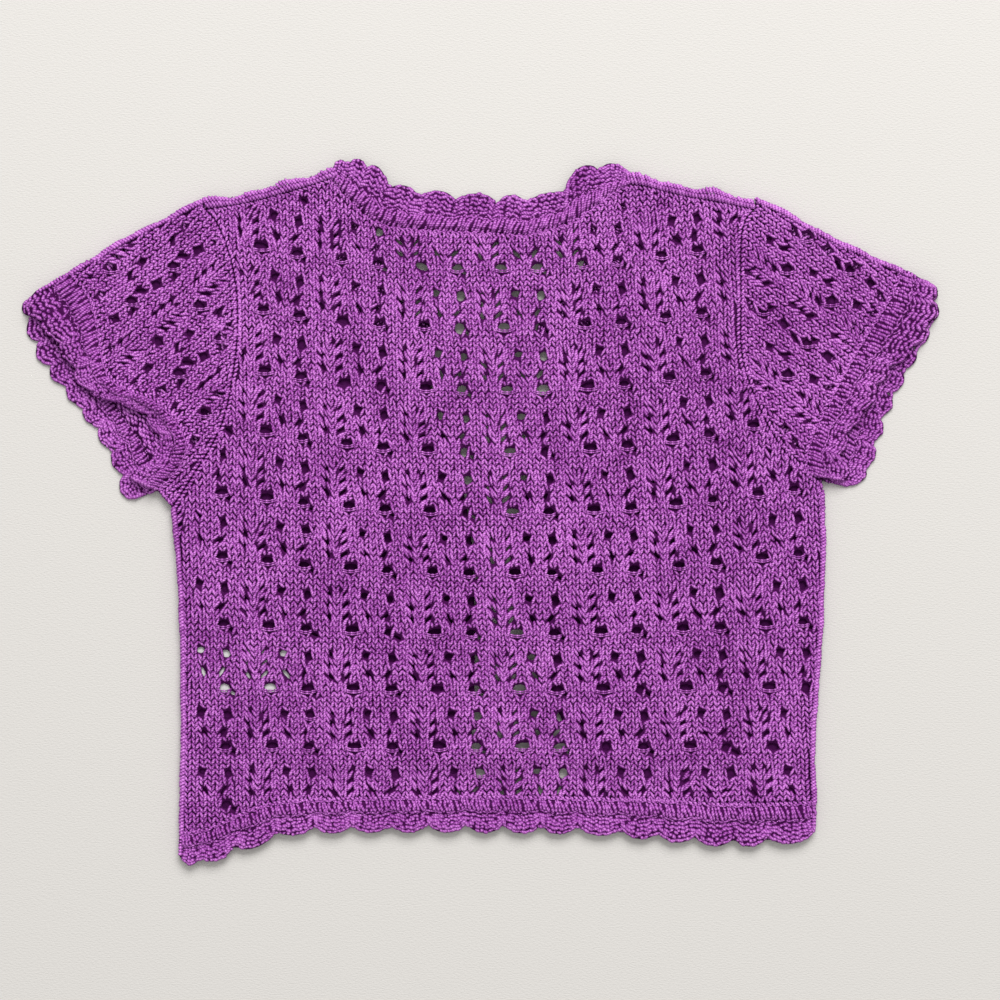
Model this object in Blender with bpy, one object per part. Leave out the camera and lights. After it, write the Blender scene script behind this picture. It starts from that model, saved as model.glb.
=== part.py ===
"""A short-sleeved lace-knit cotton cardigan with scalloped crochet edgings, laid flat, its back upwards.

The garment lies on the XY plane. +Y runs towards its neck, +X towards its right sleeve as it lies,
and +Z up. The two fronts and the front halves of the sleeves rest on the plane. The back and the back
halves of the sleeves lie on them, and the fronts turn over the shoulders onto the back.
All sizes and places below are in millimetres, and meshes are made in metres.
"""

import math

import bmesh
import bpy
from mathutils import Vector
from mathutils.geometry import delaunay_2d_cdt, intersect_point_line

MM = 0.001

# ---- Walls and layers ----
WALL = 2.4  # thickness of the knitting
LAYER_GAP = 1.0  # air between the lower and the upper layer
UPPER = WALL + LAYER_GAP  # underside of the upper layer
SEAM_GAP = 0.3  # between two pieces that are sewn together
SHOULDER_LAP = 7.0  # how far a front turns over the shoulder onto the back
FOLD_OUTER = WALL + LAYER_GAP / 2  # outer radius of that turn
FOLD_MIDDLE = FOLD_OUTER - WALL / 2
FOLD_STEPS = 4
LAP_FLAT = SHOULDER_LAP - FOLD_OUTER - SEAM_GAP  # flat run of the lap behind the turn
LAP_LENGTH = math.pi * FOLD_MIDDLE + LAP_FLAT  # cloth beyond the shoulder fold

# ---- Lace ----
COLUMN_PITCH = 56.0  # width of one repeat at the top row
COLUMN_GROWTH = 0.315  # and how much wider it is in each row below
MIDDLE_START = 4.6  # x of the lace's middle at the top row
MIDDLE_DRIFT = 1.75  # and how far it moves in each row below
COLUMNS = (-3.5, -2.5, -1.5, -0.5, 0.5, 1.5, 2.5, 3.5)  # places of the flowers, in repeats
LACE_ROWS = (
    # y at the middle, rise per repeat squared from the middle
    (170.5, 1.90),
    (128.8, 1.60),
    (85.4, 1.70),
    (42.0, 1.80),
    (-0.2, 1.25),
    (-42.7, 1.05),
    (-84.7, 0.60),
    (-123.9, 0.10),
    (-164.2, 0.00),
)
EYELETS = (
    # name, across, up, width, height, tail: from the flower's middle
    ("wide", -17.5, 0.0, 9.8, 5.2, 0.0),
    ("tailed", 7.7, -1.0, 8.4, 5.4, 3.6),
)
EYELET_SIDES = 6
EYELET_MARGIN = 10.5  # least distance from an eyelet's middle to the edge of its piece
FRONT_SHIFT = (13.3, 0.0)  # the fronts' eyelets lie under plain knitting of the back
SLEEVE_LACE = {
    # side: first flower, step along the armhole, step towards the cuff
    "left": ((-219.0, 178.7), (33.0, -50.5), (-29.0, -24.7)),
    "right": ((223.9, 185.3), (-30.0, -51.0), (30.5, -22.8)),
}
SLEEVE_SHIFT = (0.23, 0.0)  # of those steps, from a sleeve's back half to its front half

# ---- Seams and edges, each a smooth curve through (x, y) ----
ARMHOLES = {
    "left": (
        (-193.5, 212.0),
        (-185.5, 204.0),
        (-176.8, 183.4),
        (-171.0, 155.4),
        (-170.6, 118.0),
        (-178.1, 71.4),
        (-188.0, 47.0),
        (-203.3, 22.4),
        (-216.0, 3.0),
    ),
    "right": (
        (192.0, 212.0),
        (184.6, 203.0),
        (182.3, 183.4),
        (182.3, 148.4),
        (183.6, 106.4),
        (197.0, 69.0),
        (209.6, 46.9),
        (223.6, 29.4),
        (240.0, 15.0),
    ),
}
SHOULDERS = {
    "left": ((-193.5, 212.0), (-161.4, 217.2), (-126.4, 226.8), (-105.3, 233.8)),
    "right": ((192.0, 212.0), (168.0, 217.0), (140.0, 222.0), (118.0, 227.8), (103.5, 229.5)),
}
SIDES = {
    "left": ((-216.0, 3.0), (-212.6, -30.0), (-209.8, -80.0), (-209.0, -150.0), (-210.5, -227.0)),
    "right": ((240.0, 15.0), (240.6, -30.0), (238.0, -95.0), (233.6, -160.0), (234.6, -205.0)),
}
BACK_NECK = (
    (-105.3, 233.8),
    (-94.8, 221.2),
    (-73.1, 203.0),
    (-45.8, 198.1),
    (18.5, 194.6),
    (34.6, 194.2),
    (66.1, 204.4),
    (94.1, 224.0),
    (103.5, 229.5),
)
BACK_NECK_BRIM = (
    (-102.5, 241.5),
    (-91.3, 243.0),
    (-77.0, 240.0),
    (-66.5, 230.0),
    (-54.2, 224.0),
    (-30.4, 220.5),
    (24.1, 217.5),
    (48.6, 219.5),
    (58.5, 225.0),
    (66.0, 234.5),
    (83.6, 240.4),
    (96.2, 238.0),
    (106.0, 233.5),
)
BACK_HEM = (
    (-210.5, -227.0),
    (-190.0, -223.0),
    (-160.0, -210.0),
    (-126.0, -203.5),
    (0.0, -201.0),
    (120.0, -203.5),
    (175.0, -206.5),
    (234.6, -205.0),
)
BACK_HEM_BRIM = (
    (-211.0, -240.0),
    (-197.0, -242.6),
    (-168.0, -233.5),
    (-147.0, -226.5),
    (-126.0, -221.0),
    (-50.0, -219.5),
    (28.0, -220.0),
    (82.0, -221.5),
    (137.0, -226.5),
    (175.0, -229.5),
    (216.0, -227.5),
    (234.0, -224.0),
)
FRONT_EDGES = {
    # from the hem up to the corner at the neck
    "left": ((-18.0, -201.3), (-7.0, -163.0), (-4.0, -90.0), (-9.0, 0.0), (-32.0, 75.0), (-37.0, 103.0)),
    "right": ((67.0, -202.0), (63.0, -163.0), (36.0, -95.0), (20.0, -40.0), (44.0, 65.0), (52.0, 106.0)),
}
FRONT_NECKS = {
    # from that corner up to the shoulder fold
    "left": ((-37.0, 103.0), (-66.0, 120.0), (-88.0, 146.0), (-101.0, 180.0), (-106.0, 237.0)),
    "right": ((52.0, 106.0), (72.0, 126.0), (89.0, 150.0), (103.0, 182.0), (107.0, 233.0)),
}
FRONT_NECK_BRIMS = {
    "left": ((-28.0, 122.0), (-48.0, 134.0), (-64.0, 155.0), (-74.0, 182.0), (-82.0, 234.5)),
    "right": ((39.0, 124.0), (53.0, 139.0), (66.0, 159.0), (77.0, 184.0), (82.0, 231.5)),
}
SLEEVE_TOPS = {
    # the fold along the top of the sleeve, from the armhole to the cuff's seam
    "left": ((-194.3, 218.9), (-224.3, 203.7), (-252.3, 189.2), (-288.8, 167.3)),
    "right": ((192.8, 219.2), (209.6, 212.1), (244.6, 192.6), (268.0, 181.6), (295.8, 169.4)),
}
CUFF_SEAMS = {
    ("left", "back"): (
        (-288.8, 167.3),
        (-274.5, 148.4),
        (-267.8, 120.4),
        (-262.0, 96.5),
        (-248.8, 85.0),
        (-229.9, 78.0),
        (-214.5, 65.0),
        (-205.6, 46.0),
        (-213.0, 28.5),
        (-226.5, 15.0),
    ),
    ("left", "front"): (
        (-288.8, 167.3),
        (-288.0, 132.0),
        (-271.9, 101.4),
        (-254.4, 72.4),
        (-236.5, 45.0),
        (-226.5, 15.0),
    ),
    ("right", "back"): (
        (295.8, 169.4),
        (287.0, 148.5),
        (267.1, 116.8),
        (248.8, 83.9),
        (234.0, 55.0),
        (228.6, 38.0),
        (230.5, 26.0),
    ),
    ("right", "front"): (
        (295.8, 169.4),
        (291.0, 142.4),
        (276.8, 110.5),
        (265.0, 84.0),
        (257.0, 57.0),
        (249.0, 34.0),
        (239.5, 22.0),
    ),
}
CUFF_BRIMS = {
    ("left", "back"): (
        (-314.0, 152.6),
        (-313.6, 141.0),
        (-301.0, 128.5),
        (-287.0, 110.0),
        (-276.5, 91.0),
        (-264.0, 81.5),
        (-243.0, 74.8),
        (-228.0, 62.5),
        (-220.8, 46.5),
        (-229.5, 33.5),
        (-246.0, 24.5),
    ),
    ("left", "front"): (
        (-312.5, 153.2),
        (-317.4, 142.0),
        (-306.5, 110.0),
        (-287.0, 84.5),
        (-267.0, 58.5),
        (-253.0, 33.0),
        (-246.5, 8.5),
    ),
    ("right", "back"): (
        (308.0, 163.8),
        (316.0, 153.5),
        (312.0, 133.0),
        (297.5, 113.0),
        (278.5, 94.0),
        (269.5, 76.0),
        (255.8, 58.0),
        (250.5, 40.0),
        (256.0, 22.0),
    ),
    ("right", "front"): (
        (309.0, 163.0),
        (318.5, 148.5),
        (311.0, 126.0),
        (296.0, 99.0),
        (284.0, 75.0),
        (275.0, 50.0),
        (269.0, 30.0),
        (258.0, 18.0),
    ),
}
UNDERARMS = {
    # the sleeve's short lower edge, from the cuff's seam to the armhole
    ("left", "back"): ((-226.5, 15.0), (-216.0, 3.0)),
    ("left", "front"): ((-226.5, 15.0), (-216.0, 3.0)),
    ("right", "back"): ((230.5, 26.0), (240.0, 15.0)),
    ("right", "front"): ((239.5, 22.0), (240.0, 15.0)),
}

# ---- Edgings ----
SCALLOP_DEPTH = 4.2  # how far a scallop stands out from the brim's line
SCALLOP_STEPS = 4  # points along one scallop
EDGING_SECTION = (
    # place from seam to brim, thickness on top, thickness underneath the other layer
    (0.00, 2.4, 2.4),
    (0.20, 3.9, 2.7),
    (0.50, 2.1, 2.1),
    (1.00, 2.6, 2.4),
)
SCALLOPS = {"neck_back": 9, "neck_front": 5, "hem_back": 16, "hem_front": 7, "cuff": 7}
NECK_DROOP = 2.9  # the back neck's edging lies down on the plane, where no front lies under it
DROOP_HALF_WIDTH = 62.0
DROOP_EASE = 14.0

# ---- Soft ridges of the upper layer: middle, direction, half length, half width and height ----
FOLDS = (
    # x, y, degrees, half length, half width, height
    (-284.0, 118.0, -57.0, 42.0, 14.0, 2.2),  # left cuff, standing off the one below it
    (-238.0, 74.0, -32.0, 26.0, 9.0, 3.4),  # left cuff, turned back at its mouth
    (-222.0, 36.0, 38.0, 20.0, 9.0, 3.0),
    (272.0, 96.0, 60.0, 46.0, 13.0, 2.6),  # right cuff
    (238.0, 40.0, 75.0, 18.0, 11.0, 3.0),
    (-205.0, 60.0, 62.0, 34.0, 9.0, 1.6),  # beside the armholes
    (214.0, 62.0, -52.0, 36.0, 9.0, 1.6),
    (10.0, -70.0, 2.0, 170.0, 75.0, 2.2),  # the back's broad crown
    (-20.0, 120.0, 84.0, 60.0, 40.0, 1.4),
    (20.0, -186.0, 0.0, 190.0, 9.0, -0.5),  # trough above the hem
)

# ---- Care label, sewn in the left side seam between the layers ----
LABEL_SIZE = (78.0, 42.0, 0.4)
LABEL_CENTRE = (-166.0, -110.0, (WALL + UPPER) / 2)

# ---- Plans ----
SIDE_STEPS = 14
ARMHOLE_STEPS = 16
SHOULDER_STEPS = 7
FRONT_EDGE_STEPS = 12
SLEEVE_TOP_STEPS = 6
PLAIN_SPACING = 34.0  # between points of plain cloth
PLAIN_CLEARANCE = 11.0  # from those points to an edge or an eyelet
DENSE_STEPS = 40  # points worked out between two of a curve's own

YARN = (0.32, 0.072, 0.36)
YARN_INSIDE = (0.22, 0.045, 0.25)
LABEL_WHITE = (0.85, 0.85, 0.86)


def dense_curve(points):
    """A close-set Catmull-Rom curve through the points, with straight ends."""
    knots = [Vector(point) for point in points]
    knots = [knots[0] * 2 - knots[1]] + knots + [knots[-1] * 2 - knots[-2]]
    found = []
    for before, start, end, after in zip(knots, knots[1:], knots[2:], knots[3:]):
        for step in range(DENSE_STEPS):
            t = step / DENSE_STEPS
            found.append(
                0.5
                * (
                    start * 2
                    + (end - before) * t
                    + (before * 2 - start * 5 + end * 4 - after) * t**2
                    + (start * 3 - before - end * 3 + after) * t**3
                )
            )
    found.append(knots[-2])
    return found


def evenly(points, steps):
    """The smooth curve through the points, cut into equal steps."""
    dense = dense_curve(points)
    lengths = [0.0]
    for start, end in zip(dense, dense[1:]):
        lengths.append(lengths[-1] + (end - start).length)
    found = []
    place = 0
    for step in range(steps + 1):
        wanted = lengths[-1] * step / steps
        while place < len(dense) - 2 and lengths[place + 1] < wanted:
            place += 1
        span = lengths[place + 1] - lengths[place]
        found.append(dense[place].lerp(dense[place + 1], (wanted - lengths[place]) / span))
    return found


def smooth(t):
    """0 to 1 with soft ends."""
    t = min(max(t, 0.0), 1.0)
    return t * t * (3 - 2 * t)


def joined(*runs):
    """One closed loop from runs of points, without the points that two runs share."""
    loop = []
    for run in runs:
        for point in run:
            if not loop or (point - loop[-1]).length > SEAM_GAP / 3:
                loop.append(point)
    if (loop[0] - loop[-1]).length <= SEAM_GAP / 3:
        loop.pop()
    return loop


def shrunk(loop, by):
    """The counter-clockwise loop with each side moved in."""
    found = []
    for before, here, after in zip(loop[-1:] + loop[:-1], loop, loop[1:] + loop[:1]):
        arriving = (here - before).normalized()
        leaving = (after - here).normalized()
        inwards = Vector((-arriving.y - leaving.y, arriving.x + leaving.x))
        if inwards.length < 0.1:
            inwards = Vector((-arriving.y, arriving.x))
        inwards.normalize()
        lean = max(inwards.dot(Vector((-arriving.y, arriving.x))), 0.35)
        found.append(here + inwards * by / lean)
    return found


def distance_to(loop, point):
    """How far the point lies from the loop's sides."""
    nearest = math.inf
    for start, end in zip(loop, loop[1:] + loop[:1]):
        foot, share = intersect_point_line(point, start, end)
        foot = start if share < 0 else end if share > 1 else foot.to_2d()
        nearest = min(nearest, (foot - point).length)
    return nearest


def is_inside(loop, point):
    """Whether the point lies within the loop."""
    inside = False
    for start, end in zip(loop, loop[1:] + loop[:1]):
        if (start.y > point.y) != (end.y > point.y):
            crossing = start.x + (end.x - start.x) * (point.y - start.y) / (end.y - start.y)
            if point.x < crossing:
                inside = not inside
    return inside


def folds(x, y):
    """Height that the soft ridges add at a place on the upper layer."""
    height = 0.0
    for middle_x, middle_y, degrees, half_length, half_width, top in FOLDS:
        turn = math.radians(degrees)
        along = (x - middle_x) * math.cos(turn) + (y - middle_y) * math.sin(turn)
        across = (y - middle_y) * math.cos(turn) - (x - middle_x) * math.sin(turn)
        height += top * math.exp(-((along / half_length) ** 2) - (across / half_width) ** 2)
    return max(height, -LAYER_GAP / 2)


# ---- Lace ----
def body_flower(row, column):
    """Middle of one flower of the body's lace."""
    height, rise = LACE_ROWS[row]
    x = MIDDLE_START + MIDDLE_DRIFT * row + (COLUMN_PITCH + COLUMN_GROWTH * row) * column
    return Vector((x, height + rise * column**2))


def eyelet(flower, right, up, across, height, width, tall, tail):
    """One eyelet's outline, clockwise, in a frame of the lace's own directions."""
    points = []
    for side in range(EYELET_SIDES):
        angle = -2 * math.pi * side / EYELET_SIDES
        reach = width / 2 * math.cos(angle)
        rise = tall / 2 * math.sin(angle)
        if side == 1:
            reach += tail
            rise -= tail / 2
        points.append(flower + right * (across + reach) + up * (height + rise))
    return points


def flower_eyelets(flower, right, up):
    """Both eyelets of one flower, by name."""
    return {row[0]: eyelet(flower, right, up, *row[1:]) for row in EYELETS}


def body_eyelets(loop, shift):
    """The body lace's eyelets that fall inside a piece."""
    found = []
    for row in range(len(LACE_ROWS)):
        for column in COLUMNS:
            flower = body_flower(row, column) + Vector(shift)
            pair = flower_eyelets(flower, Vector((1, 0)), Vector((0, 1)))
            if column == COLUMNS[0]:
                pair.pop("wide")
            if column == COLUMNS[-1]:
                pair.pop("tailed")
            found += pair.values()
    return within(found, loop)


def sleeve_eyelets(loop, side, shift):
    """The sleeve lace's eyelets that fall inside a piece."""
    first, along, out = (Vector(row) for row in SLEEVE_LACE[side])
    right = along.normalized() if side == "left" else -along.normalized()
    found = []
    for row in (-1, 0, 1, 2):
        for column in (-1, 0, 1, 2):
            flower = first + along * (column + shift[0]) + out * (row + shift[1])
            found += flower_eyelets(flower, right, -out.normalized()).values()
    return within(found, loop)


def within(eyelets, loop):
    """Those eyelets whose middle is well inside the loop."""
    kept = []
    for points in eyelets:
        middle = sum(points, Vector((0, 0))) / len(points)
        if is_inside(loop, middle) and distance_to(loop, middle) > EYELET_MARGIN:
            kept.append(points)
    return kept


# ---- Meshes ----
def cut_plan(loop, eyelets, creases=()):
    """A flat mesh of the piece with its eyelets left out, on the loop's own points."""
    points = list(loop)
    rings = [range(len(loop))]
    for ring in eyelets:
        rings.append(range(len(points), len(points) + len(ring)))
        points += ring
    edges = []
    for ring in rings:
        edges += [(ring[place - 1], ring[place]) for place in range(len(ring))]
    for crease in creases:
        first = len(points)
        points += crease
        edges += [(first + place, first + place + 1) for place in range(len(crease) - 1)]
    xs = [point.x for point in loop]
    ys = [point.y for point in loop]
    rows = int((max(ys) - min(ys)) / PLAIN_SPACING) + 2
    columns = int((max(xs) - min(xs)) / PLAIN_SPACING) + 2
    edged = [loop, *eyelets, *creases]
    for row in range(rows):
        for column in range(columns):
            x = min(xs) + (column + 0.5 * (row % 2)) * PLAIN_SPACING
            point = Vector((x, min(ys) + row * PLAIN_SPACING))
            if is_inside(loop, point) and all(distance_to(ring, point) > PLAIN_CLEARANCE for ring in edged):
                if not any(is_inside(ring, point) for ring in eyelets):
                    points.append(point)
    triangles_without_holes = 2
    made = delaunay_2d_cdt(points, edges, [], triangles_without_holes, 1e-5)
    plan = bmesh.new()
    verts = [plan.verts.new((point.x, point.y, 0)) for point in made[0]]
    for corners in made[2]:
        middle = sum((made[0][corner] for corner in corners), Vector((0, 0))) / len(corners)
        if is_inside(loop, middle) and not any(is_inside(ring, middle) for ring in eyelets):
            plan.faces.new([verts[corner] for corner in corners])
    loose = [vert for vert in plan.verts if not vert.link_faces]
    bmesh.ops.delete(plan, geom=loose, context="VERTS")
    return plan


def strip_plan(steps, rows):
    """A flat grid on the unit square, steps along it and rows across it."""
    plan = bmesh.new()
    bmesh.ops.create_grid(plan, x_segments=steps, y_segments=rows, size=0.5)
    bmesh.ops.translate(plan, vec=(0.5, 0.5, 0), verts=plan.verts)
    return plan


def finish(mesh_maker, name, collection, colour):
    """Turn a bmesh into the named object, with a material of its own."""
    bmesh.ops.recalc_face_normals(mesh_maker, faces=mesh_maker.faces[:])
    mesh = bpy.data.meshes.new(name)
    mesh_maker.to_mesh(mesh)
    mesh_maker.free()
    material = bpy.data.materials.new(name)
    material.use_nodes = True
    shader = material.node_tree.nodes["Principled BSDF"]
    shader.inputs["Base Color"].default_value = (*colour, 1)
    shader.inputs["Roughness"].default_value = 0.8
    shader.inputs["Metallic"].default_value = 0.0
    mesh.materials.append(material)
    piece = bpy.data.objects.new(name, mesh)
    collection.objects.link(piece)
    return piece


def make_wall(name, plan, place, collection, colour):
    """Close a flat plan into a wall: place gives each of its points on the lower and the upper face."""
    lower = plan.verts[:]
    made = bmesh.ops.extrude_face_region(plan, geom=plan.faces[:])["geom"]
    upper = [item for item in made if isinstance(item, bmesh.types.BMVert)]
    for face, verts in enumerate((lower, upper)):
        for vert in verts:
            vert.co = Vector(place(vert.co.x, vert.co.y, face)) * MM
    return finish(plan, name, collection, colour)


# ---- Where a plan's points lie ----
def on_floor(x, y, face):
    """The lower layer lies flat."""
    return x, y, WALL * face


def on_top(x, y, face):
    """The upper layer lies over it, with its soft ridges."""
    return x, y, UPPER + folds(x, y) + WALL * face


def over_shoulder(fold):
    """The lower layer, turned over at the fold, a run of points from left to right."""

    def place(x, y, face):
        for start, end in zip(fold, fold[1:]):
            if x <= end.x:
                break
        fold_y = start.y + (end.y - start.y) * (x - start.x) / (end.x - start.x)
        beyond = y - fold_y
        if beyond <= 0 or x < fold[0].x - SEAM_GAP or x > fold[-1].x + SEAM_GAP:
            return on_floor(x, y, face)
        radius = FOLD_OUTER - WALL * face
        turn = min(beyond / FOLD_MIDDLE, math.pi)
        back = max(beyond - math.pi * FOLD_MIDDLE, 0)
        return x, fold_y + radius * math.sin(turn) - back, FOLD_OUTER - radius * math.cos(turn)

    return place


def along_edging(seam, brim, top, droop):
    """An edging between its seam and its brim, both runs of points that go along it."""

    def place(u, v, face):
        step = round(u * (len(seam) - 1))
        start = seam[step]
        tangent = seam[min(step + 1, len(seam) - 1)] - seam[max(step - 1, 0)]
        outwards = (brim[step] - start).normalized()
        clear = Vector((tangent.y, -tangent.x)).normalized()
        if clear.dot(outwards) < 0:
            clear = -clear
        start = start + clear * SEAM_GAP / 2
        swell = abs(math.sin(math.pi * step / SCALLOP_STEPS))
        end = brim[step] + outwards * SCALLOP_DEPTH * swell
        for row, (across, thick_top, thick_under) in enumerate(EDGING_SECTION):
            if round(v * (len(EDGING_SECTION) - 1)) == row:
                point = start.lerp(end, across)
                thick = thick_top if top else thick_under
                fall = droop(point.x) * smooth(across)
        base = UPPER + folds(point.x, point.y) - fall if top else 0.0
        return point.x, point.y, base + thick * face

    return place


def neck_droop(x):
    """How far the neck's edging has come down at its brim."""
    return NECK_DROOP * (1 - smooth((abs(x) - DROOP_HALF_WIDTH) / DROOP_EASE + 1))


def no_droop(_):
    return 0.0


# ---- Pieces ----
class Seams:
    """The runs of points that neighbouring pieces share."""

    def __init__(self):
        self.armhole = {side: evenly(row, ARMHOLE_STEPS) for side, row in ARMHOLES.items()}
        self.shoulder = {side: evenly(row, SHOULDER_STEPS) for side, row in SHOULDERS.items()}
        self.side = {side: evenly(row, SIDE_STEPS) for side, row in SIDES.items()}
        self.neck_back = evenly(BACK_NECK, SCALLOPS["neck_back"] * SCALLOP_STEPS)
        self.hem_back = evenly(BACK_HEM, SCALLOPS["hem_back"] * SCALLOP_STEPS)
        self.front_edge = {side: evenly(row, FRONT_EDGE_STEPS) for side, row in FRONT_EDGES.items()}
        steps = SCALLOPS["neck_front"] * SCALLOP_STEPS
        self.neck_front = {side: evenly(row, steps) for side, row in FRONT_NECKS.items()}
        steps = SCALLOPS["hem_front"] * SCALLOP_STEPS
        self.hem_front = {side: evenly(self.front_hem(side), steps) for side in ("left", "right")}
        self.sleeve_top = {side: evenly(row, SLEEVE_TOP_STEPS) for side, row in SLEEVE_TOPS.items()}
        steps = SCALLOPS["cuff"] * SCALLOP_STEPS
        self.cuff = {half: evenly(row, steps) for half, row in CUFF_SEAMS.items()}
        self.underarm = {half: [Vector(end) for end in row] for half, row in UNDERARMS.items()}

    @staticmethod
    def front_hem(side):
        """The hem's seam from a front's edge out to its side."""
        edge = FRONT_EDGES[side][0]
        if side == "left":
            outer = [row for row in BACK_HEM if row[0] < edge[0] - SHOULDER_LAP]
            return [edge] + outer[::-1]
        outer = [row for row in BACK_HEM if row[0] > edge[0] + SHOULDER_LAP]
        return [edge] + outer


def make_back(seams, collection):
    """The back, between both armholes, the neck and the hem."""
    loop = joined(
        seams.hem_back,
        seams.side["right"][::-1],
        seams.armhole["right"][::-1],
        seams.shoulder["right"],
        seams.neck_back[::-1],
        seams.shoulder["left"][::-1],
        seams.armhole["left"],
        seams.side["left"],
    )
    loop = shrunk(loop, SEAM_GAP / 2)
    plan = cut_plan(loop, body_eyelets(loop, (0, 0)))
    make_wall("back", plan, on_top, collection, YARN)


def make_front(seams, side, collection):
    """A front, with the strip of it that turns over the shoulder onto the back."""
    neck = seams.neck_front[side]
    shoulder = sorted(seams.shoulder[side], key=lambda point: point.x)
    inner = neck[-1].x
    if side == "left":
        shoulder = [point for point in shoulder if point.x < inner - SEAM_GAP]
        shoulder.append(Vector((inner, shoulder[-1].y + (inner - shoulder[-1].x) * 0.3)))
    else:
        shoulder = [point for point in shoulder if point.x > inner + SEAM_GAP]
        shoulder.insert(0, Vector((inner, shoulder[0].y + (shoulder[0].x - inner) * 0.2)))
    fold = [point + Vector((0, SHOULDER_LAP - FOLD_OUTER)) for point in shoulder]
    neck = neck[:-1] + [fold[-1] if side == "left" else fold[0]]
    lap = [point + Vector((0, LAP_LENGTH)) for point in fold]
    if side == "left":
        runs = (
            seams.hem_front[side][::-1],
            seams.front_edge[side],
            neck,
            lap[::-1],
            seams.armhole[side],
            seams.side[side],
        )
    else:
        runs = (
            seams.hem_front[side],
            seams.side[side][::-1],
            seams.armhole[side][::-1],
            lap[::-1],
            neck[::-1],
            seams.front_edge[side][::-1],
        )
    loop = shrunk(joined(*runs), SEAM_GAP / 2)
    inset = Vector((SEAM_GAP / 2, 0))
    creases = []
    for step in range(FOLD_STEPS + 1):
        rise = Vector((0, math.pi * FOLD_MIDDLE * step / FOLD_STEPS))
        crease = [point + rise for point in fold]
        crease[0] = crease[0] + inset
        crease[-1] = crease[-1] - inset
        creases.append(crease)
    eyelets = [ring for ring in body_eyelets(loop, FRONT_SHIFT) if ring[0].y < fold[0].y - EYELET_MARGIN]
    plan = cut_plan(loop, eyelets, creases)
    make_wall("front_" + side, plan, over_shoulder(fold), collection, YARN)


def sleeve_outline(seams, side, half):
    """The outline of the back or the front half of a sleeve."""
    runs = (
        seams.armhole[side][::-1],
        seams.sleeve_top[side],
        seams.cuff[side, half],
        seams.underarm[side, half],
    )
    loop = joined(*runs)
    if side == "right":
        loop = loop[::-1]
    return shrunk(loop, SEAM_GAP / 2)


def make_sleeve_half(seams, side, half, collection):
    """The back or the front half of a sleeve, with no eyelets in the cuff's mouth."""
    loop = sleeve_outline(seams, side, half)
    cover = sleeve_outline(seams, side, "back")
    shift = (0.0, 0.0) if half == "back" else SLEEVE_SHIFT
    eyelets = [ring for ring in sleeve_eyelets(loop, side, shift) if is_inside(cover, ring[0])]
    plan = cut_plan(loop, eyelets)
    place = on_top if half == "back" else on_floor
    make_wall(f"sleeve_{side}_{half}", plan, place, collection, YARN)


def make_edging(name, seam, brim, top, collection, droop=no_droop):
    """A crochet edging: a rolled ridge along its seam, then a groove, then its scallops."""
    brim = evenly(brim, len(seam) - 1)
    plan = strip_plan(len(seam) - 1, len(EDGING_SECTION) - 1)
    colour = YARN if top else YARN_INSIDE
    make_wall(name, plan, along_edging(seam, brim, top, droop), collection, colour)


def front_hem_brim(seam):
    """A front hem's brim, a little shorter than the back's, over the same run."""
    reach = [Vector(row) for row in BACK_HEM_BRIM]
    inner, outer = sorted((seam[0].x, seam[-1].x))
    kept = [point for point in evenly(reach, 60) if inner < point.x < outer]
    if seam[0].x > seam[-1].x:
        kept.reverse()
    return [(point.x, point.y + SCALLOP_DEPTH / 2) for point in kept[::6] + kept[-1:]]


def make_label(collection):
    """The blank care label, a thin tape sewn in at one end."""
    tape = bmesh.new()
    bmesh.ops.create_cube(tape, size=MM)
    bmesh.ops.scale(tape, vec=LABEL_SIZE, verts=tape.verts)
    bmesh.ops.translate(tape, vec=Vector(LABEL_CENTRE) * MM, verts=tape.verts)
    finish(tape, "care_label", collection, LABEL_WHITE)


def make_cardigan():
    collection = bpy.data.collections.new("cardigan")
    bpy.context.scene.collection.children.link(collection)
    seams = Seams()
    make_back(seams, collection)
    make_edging("neck_edging_back", seams.neck_back, BACK_NECK_BRIM, True, collection, neck_droop)
    make_edging("hem_edging_back", seams.hem_back, BACK_HEM_BRIM, True, collection)
    for side in ("left", "right"):
        make_front(seams, side, collection)
        neck = seams.neck_front[side]
        make_edging("neck_edging_front_" + side, neck, FRONT_NECK_BRIMS[side], False, collection)
        hem = seams.hem_front[side]
        make_edging("hem_edging_front_" + side, hem, front_hem_brim(hem), False, collection)
        for half in ("back", "front"):
            make_sleeve_half(seams, side, half, collection)
            cuff = seams.cuff[side, half]
            name = f"cuff_edging_{side}_{half}"
            make_edging(name, cuff, CUFF_BRIMS[side, half], half == "back", collection)
    make_label(collection)


for old in list(bpy.data.objects):
    bpy.data.objects.remove(old)
make_cardigan()
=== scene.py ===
"""The looks of a short-sleeved lace-knit cotton cardigan with crochet edgings, laid flat, its back upwards.

Every panel is a perforated shell with its yarn laid on it, leg by leg, along the lace's own wales and
courses. Sizes and places below are in millimetres, apart from the properties and the picture's own, which
are in metres. +Y runs towards the neck, +X towards the right sleeve as it lies, and +Z up.
"""

import math

import bmesh
import bpy
import numpy as np
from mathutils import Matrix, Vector
from mathutils.geometry import delaunay_2d_cdt


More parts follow.
